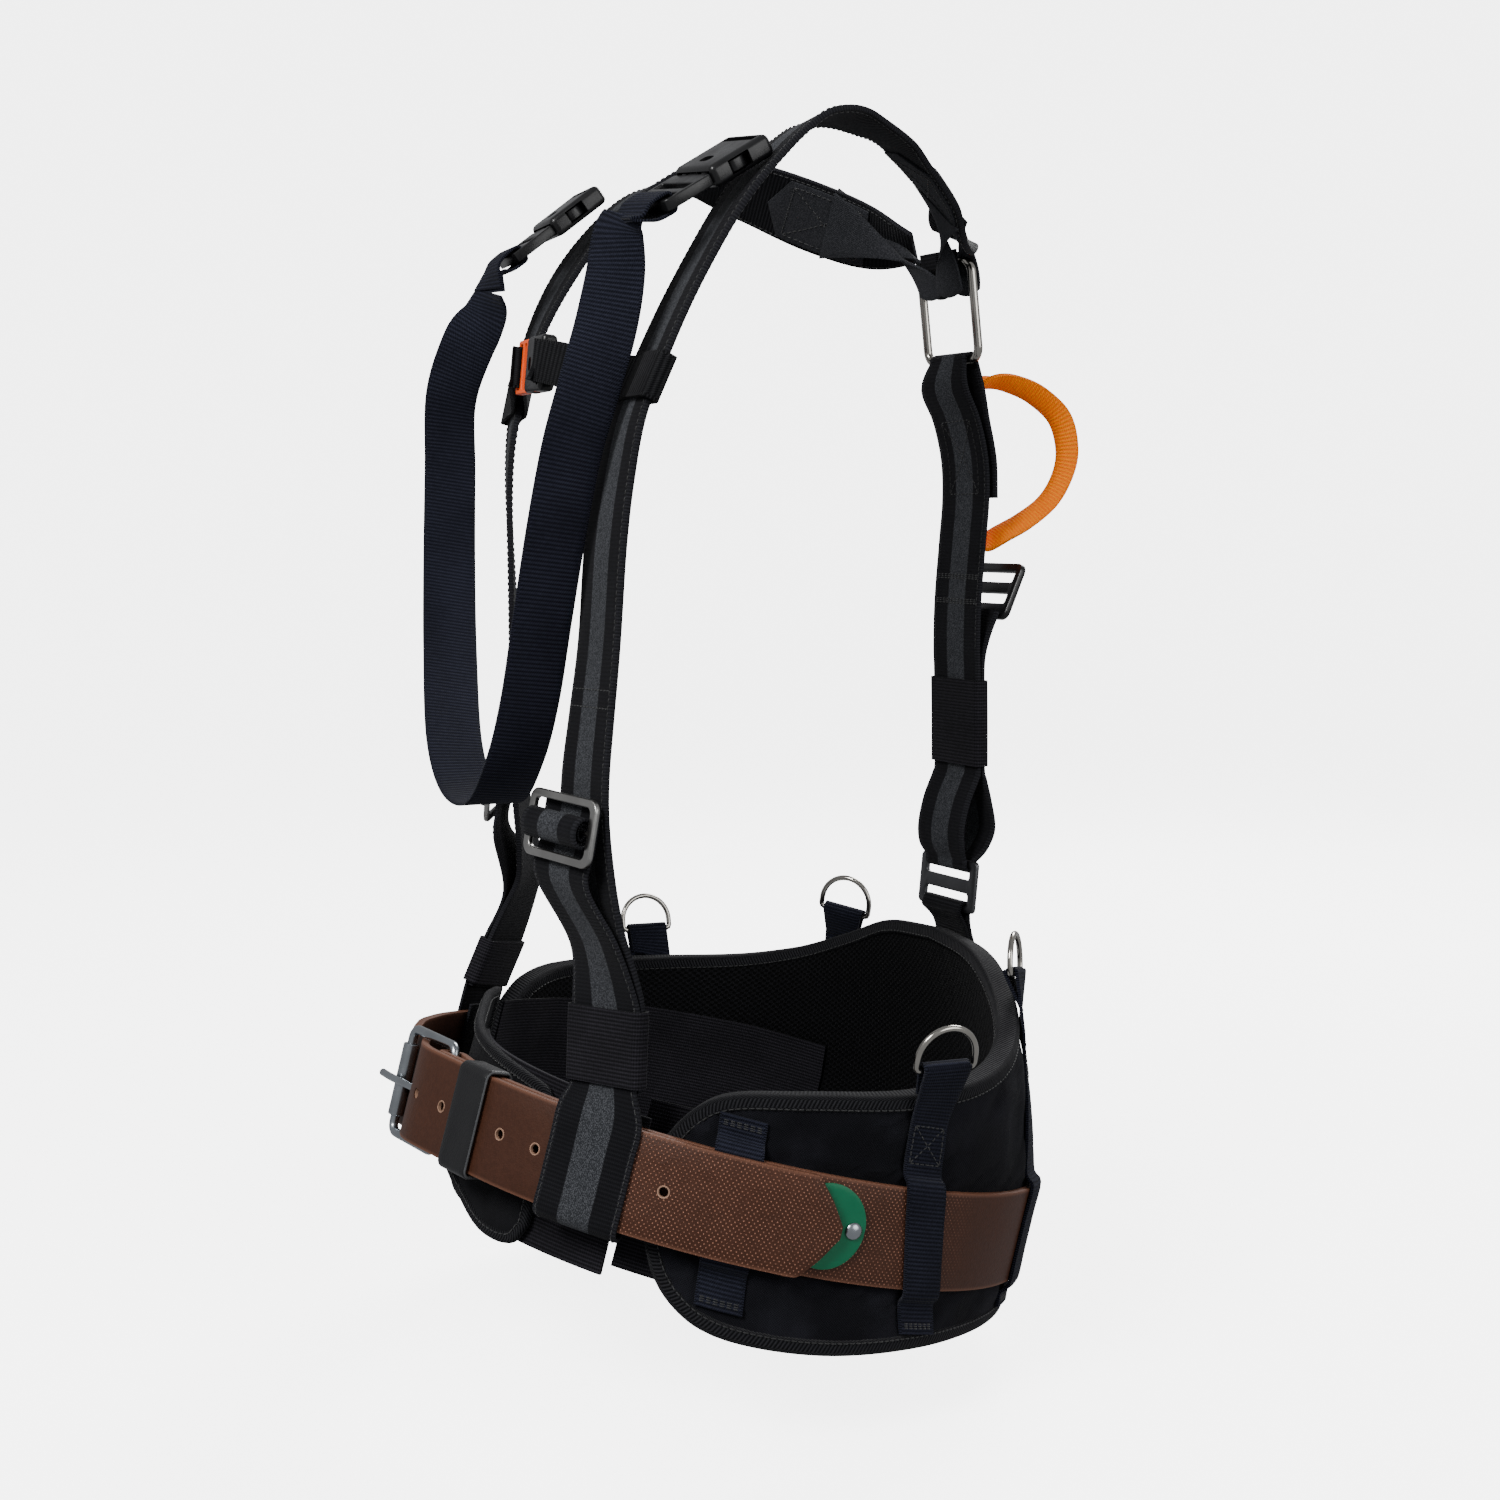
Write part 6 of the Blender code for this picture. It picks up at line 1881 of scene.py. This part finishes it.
def drag_handle():
    """Bright webbing handle, bunched into a gutter where a hand closes on it."""
    look_of = ribbed("orange_webbing", (0.90, 0.13, 0.0), (1.0, 0.33, 0.0), 0.0020, 0.013,
                     0.0010)
    across = heading(REAR_HEADING)
    route = [(0.1397, 0.3930), (0.1378, 0.4000), (0.1363, 0.4070), (0.1358, 0.4130),
             (0.1400, 0.4195), (0.1500, 0.4225), (0.1620, 0.4215), (0.1790, 0.4155),
             (0.1950, 0.4030), (0.2010, 0.3850), (0.1980, 0.3690), (0.1880, 0.3540),
             (0.1720, 0.3430), (0.1560, 0.3355), (0.1430, 0.3290), (0.1380, 0.3300),
             (0.1369, 0.3350), (0.1374, 0.3430), (0.1380, 0.3510)]
    widths = (0.026, 0.026, 0.026, 0.026, 0.026, 0.0255, 0.025, 0.023, 0.020, 0.017, 0.016,
              0.018, 0.021, 0.024, 0.026, 0.026, 0.026, 0.026, 0.026)
    rows = ribbon_rows([(Vector((0, y, z)), across, w) for (y, z), w in zip(route, widths)],
                       HANDLE_WIDTH, 10, columns=15)
    surface = Surface([[point.copy() for point in row] for row in rows], HANDLE_WIDTH)
    for i, row in enumerate(rows):
        share = i / (len(rows) - 1)
        bunch = math.sin(math.pi * min(1, max(0, (share - 0.20) / 0.60))) ** 0.5
        middle = surface.rows[i][7]
        ahead = surface.rows[min(i + 1, len(rows) - 1)][7] - surface.rows[max(i - 1, 0)][7]
        normal = (row[-1] - row[0]).cross(ahead).normalized()
        for j, point in enumerate(row):
            side = (j - 7) / 7
            ripple = 0.0016 * noise.noise(Vector((share * 6, side * 1.2, 3)))
            point += normal * bunch * (0.0105 * (side * side - 0.45) + ripple)
            point += (middle - point) * 0.22 * bunch * abs(side)
    ride(band("drag_handle_web", rows, 0.0024, [look_of], HANDLE_WIDTH, bevel=0.0005),
         "harness", "orange_webbing", "drag_handle")


# ---- side release buckles ----

RELEASE_BASE = 0.034


def slot_shape(length, height, depth):
    """A cutter with round ends: length along X, height along Z, depth along Y."""
    shape = bmesh.new()
    outline = rounded(length, height, min(length, height) / 2 - 0.0001, corner=5)
    lower = [shape.verts.new((x, -depth / 2, z)) for x, z in outline]
    upper = [shape.verts.new((x, depth / 2, z)) for x, z in outline]
    shape.faces.new(lower)
    shape.faces.new(list(reversed(upper)))
    for i in range(len(outline)):
        j = (i + 1) % len(outline)
        shape.faces.new((lower[j], lower[i], upper[i], upper[j]))
    bmesh.ops.recalc_face_normals(shape, faces=shape.faces)
    return shape


def release_buckle(tag, place, width, male_look, slot):
    """Side release buckle. X runs from the male half to the female one, from the parting
    plane, Z across the webbing and -Y outward."""
    s = width / RELEASE_BASE
    female = helper(f"{tag}_release_female",
                    box_shape((0.032 * s, 0.0100 * s, width), 0.0029 * s, 5),
                    place @ Matrix.Translation((0.016 * s, 0, 0)))
    female.data.materials.append(black_plastic())
    cuts = [("cavity", box_shape((0.026 * s, 0.0064 * s, width - 0.0044 * s)), (0.0100 * s, 0, 0)),
            ("window", box_shape((0.0110 * s, 0.0064 * s, width + 0.004)), (0.0145 * s, 0, 0)),
            ("slot", box_shape((0.0036 * s, 0.02, width - 0.0070 * s), 0.0006, 2),
             (0.0270 * s, 0, 0)),
            ("eye", slot_shape(0.0050 * s, 0.0085 * s, 0.02), (0.0090 * s, 0, 0))]
    carve(female, [helper(f"{tag}_{word}", shape, place @ Matrix.Translation(centre))
                   for word, shape, centre in cuts], sharp_angle=50)
    ride(female, "harness", "black_plastic", f"{tag}_buckle_female")
    half = width / 2 - 0.0004
    body = [(-0.025 * s, -half + 0.002 * s), (-0.025 * s, half - 0.002 * s),
            (-0.0245 * s, half - 0.0008 * s), (-0.023 * s, half), (-0.002 * s, half),
            (-0.0008 * s, half - 0.0005 * s), (-GAP, half - 0.0015 * s),
            (-GAP, 0.0042 * s), (0.0180 * s, 0.0034 * s), (0.0190 * s, 0.0022 * s),
            (0.0190 * s, -0.0022 * s), (0.0180 * s, -0.0034 * s), (-GAP, -0.0042 * s),
            (-GAP, -half + 0.0015 * s), (-0.0008 * s, -half + 0.0005 * s), (-0.002 * s, -half),
            (-0.023 * s, -half), (-0.0245 * s, -half + 0.0008 * s)]
    windows = [rounded(0.0050 * s, width - 0.0060 * s, 0.001, x=x * s, corner=4)
               for x in (-0.0190, -0.0105)]
    male = plate(f"{tag}_release_male", [body] + windows, 0.0050 * s, place, male_look,
                 bevel=0.0006 * s)
    ride(male, "harness", slot, f"{tag}_buckle_male")
    for sign, word in ((1, "front"), (-1, "rear")):
        arm = [(0.0006, 0.0070), (0.0006, 0.0110), (0.0070, 0.0125), (0.0105, 0.0156),
               (0.0125, 0.0164), (0.0165, 0.0160), (0.0200, 0.0115), (0.0205, 0.0085),
               (0.0185, 0.0076), (0.0090, 0.0088)]
        outline = through([Vector((x * s, sign * z * s)) for x, z in arm], 3, closed=True)
        prong = plate(f"{tag}_release_prong_{word}", [[tuple(point) for point in outline]],
                      0.0050 * s, place, male_look, bevel=0.0004 * s)
        ride(prong, f"{tag}_prong_{word}_body", slot, f"{tag}_prong_{word}")


def chest_buckle_place():
    return frame_at(Vector((0.0005, -0.1240, 0.4235)), (1, -0.02, 0), (0, 0.10, 1))


SHOULDER_BUCKLES = {
    "left": (Vector((0.1080, -0.0770, 0.5065)), Vector((-0.0015, 0.0610, 0.0370)),
             Vector((0.97, 0.22, -0.03))),
    "right": (Vector((-0.1080, -0.0800, 0.5065)), Vector((0.0015, 0.0560, 0.0430)),
              Vector((0.97, 0.00, 0.03))),
}

CHEST_THICK = 0.0018
CHEST_WIDTH = 0.0235
# Each chest strap's side, its height on the shoulder strap, and its turn round the buckle's
# end bar as (along, out) from the front leg to the middle of the slot.
CHEST_LOOPS = {
    "left": (1, 0.411, ((0.0305, 0.0054), (0.0262, 0.0057), (0.0239, 0.0056), (0.02305, 0.0046),
                        (0.02305, 0.0020))),
    "right": (-1, 0.4125, ((-0.0245, 0.0038), (-0.0200, 0.0038), (-0.0178, 0.0035),
                           (-0.0169, 0.0024), (-0.0169, 0.0010))),
}


def chest_straps():
    """Webbing loops round the shoulder straps that carry the chest buckle."""
    knit = ribbed("knit_webbing", (0.0015, 0.0015, 0.002), (0.020, 0.020, 0.022), 0.0030, 0.0118,
                  0.0016)
    clear = STRAP_THICK / 2 + 0.0014 + CHEST_THICK / 2
    edge = STRAP_WIDTH / 2 + 0.0020 + CHEST_THICK / 2
    bar_place = chest_buckle_place()
    for word, (side, height, turn) in CHEST_LOOPS.items():
        place = strap_place(word, height)
        outline = [(-edge + 0.003, -clear), (0, -clear), (edge - 0.003, -clear),
                   (edge, -clear / 2), (edge, clear / 2), (edge - 0.003, clear), (0, clear),
                   (-edge + 0.003, clear)]
        rise = place.to_3x3() @ Vector((0, 0, 1))
        stations = [(place @ Vector((side * x, -out, 0)), rise) for x, out in outline]
        back = [(along, -out) for along, out in reversed(turn)]
        stations += [(bar_place @ Vector((along, -out, 0)), (0, 0.1, 1), 0.0215)
                     for along, out in list(turn) + back]
        rows = ribbon_rows(stations, CHEST_WIDTH, 3, closed=True)
        ride(band(f"chest_strap_web_{word}", rows, CHEST_THICK, [knit], CHEST_WIDTH,
                  closed=True, bevel=0.0004), "harness", "knit_webbing", f"chest_strap_{word}")


def navy_strap():
    """Spare webbing that joins the two shoulder buckles in one hanging loop."""
    route = [((0.1085, -0.1140, 0.4880), 20), ((0.1070, -0.1165, 0.4790), 32),
             ((0.1075, -0.1180, 0.4600), 50), ((0.1080, -0.1230, 0.4360), 66),
             ((0.1085, -0.1315, 0.4080), 78), ((0.1060, -0.1400, 0.3770), 84),
             ((0.1000, -0.1460, 0.3390), 86), ((0.0920, -0.1510, 0.2950), 88),
             ((0.0840, -0.1550, 0.2560), 88), ((0.0720, -0.1590, 0.2260), 88),
             ((0.0500, -0.1630, 0.2030), 88), ((0.0200, -0.1670, 0.2050), 90),
             ((-0.0100, -0.1660, 0.2280), 92), ((-0.0500, -0.1560, 0.2730), 94),
             ((-0.0800, -0.1470, 0.3220), 95), ((-0.1000, -0.1400, 0.3720), 95),
             ((-0.1100, -0.1360, 0.4120), 95), ((-0.1130, -0.1250, 0.4420), 80),
             ((-0.1110, -0.1150, 0.4600), 40), ((-0.1085, -0.1130, 0.4720), 10)]
    rows = ribbon_rows([(Vector(p), heading(turn)) for p, turn in route], NAVY_WIDTH, 12)
    ride(band("carry_strap_web", rows, NAVY_THICK, [navy_web(NAVY_WIDTH / 2)], NAVY_WIDTH,
              bevel=0.0004), "harness", "navy_webbing", "carry_strap")


STRAP_TOPS = {"left": (0.1085, -0.1150, 0.4850), "right": (-0.1085, -0.1132, 0.4725)}


def strap_turns():
    """Where the spare webbing passes round the end bar of each shoulder buckle."""
    turn = [(-0.0385, 0.0016), (-0.0330, 0.0042), (-0.0262, 0.0048), (-0.0225, 0.0044),
            (-0.0214, 0.0022)]
    turn += [(along, -out) for along, out in reversed(turn)]
    for side, (middle, along, across) in SHOULDER_BUCKLES.items():
        place = frame_at(middle, along, across)
        z_axis = place.to_3x3() @ Vector((0, 0, 1))
        stations = [(place @ Vector((x, -out, 0)), z_axis) for x, out in turn]
        top = Vector(STRAP_TOPS[side])
        lift = place.to_3x3() @ Vector((0, 0.0009, 0))
        stations = ([(top - lift, heading(15))] + stations + [(top + lift, heading(15))])
        rows = ribbon_rows(stations, NAVY_WIDTH, 8)
        ride(band(f"carry_strap_turn_{side}", rows, NAVY_THICK, [navy_web(NAVY_WIDTH / 2)],
                  NAVY_WIDTH, bevel=0.0004), "harness", "navy_webbing")


def main():
    add_camera()
    add_studio()
    waist_pad()
    elastic_bands()
    front_closure()
    leather_belt()
    belt_buckle()
    belt_keeper()
    swing_tag()
    waist_webbing()
    shoulder_straps()
    for side in ("left", "right"):
        lower_strap(side)
        sleeve(side)
        slide_buckle(side)
    rear_ring()
    yoke_folds()
    yoke_lugs()
    rear_strap()
    rear_sleeve()
    rear_plate()
    rear_tab()
    rear_adjuster()
    drag_handle()
    for side, (middle, along, across) in SHOULDER_BUCKLES.items():
        release_buckle(f"shoulder_{side}", frame_at(middle, along, across), 0.0385,
                       black_plastic(), "black_plastic")
    release_buckle("chest", chest_buckle_place(), 0.029,
                   moulded("orange_plastic", (0.85, 0.085, 0.004), 0.25, 0.45), "orange_plastic")
    chest_straps()
    navy_strap()
    strap_turns()


main()
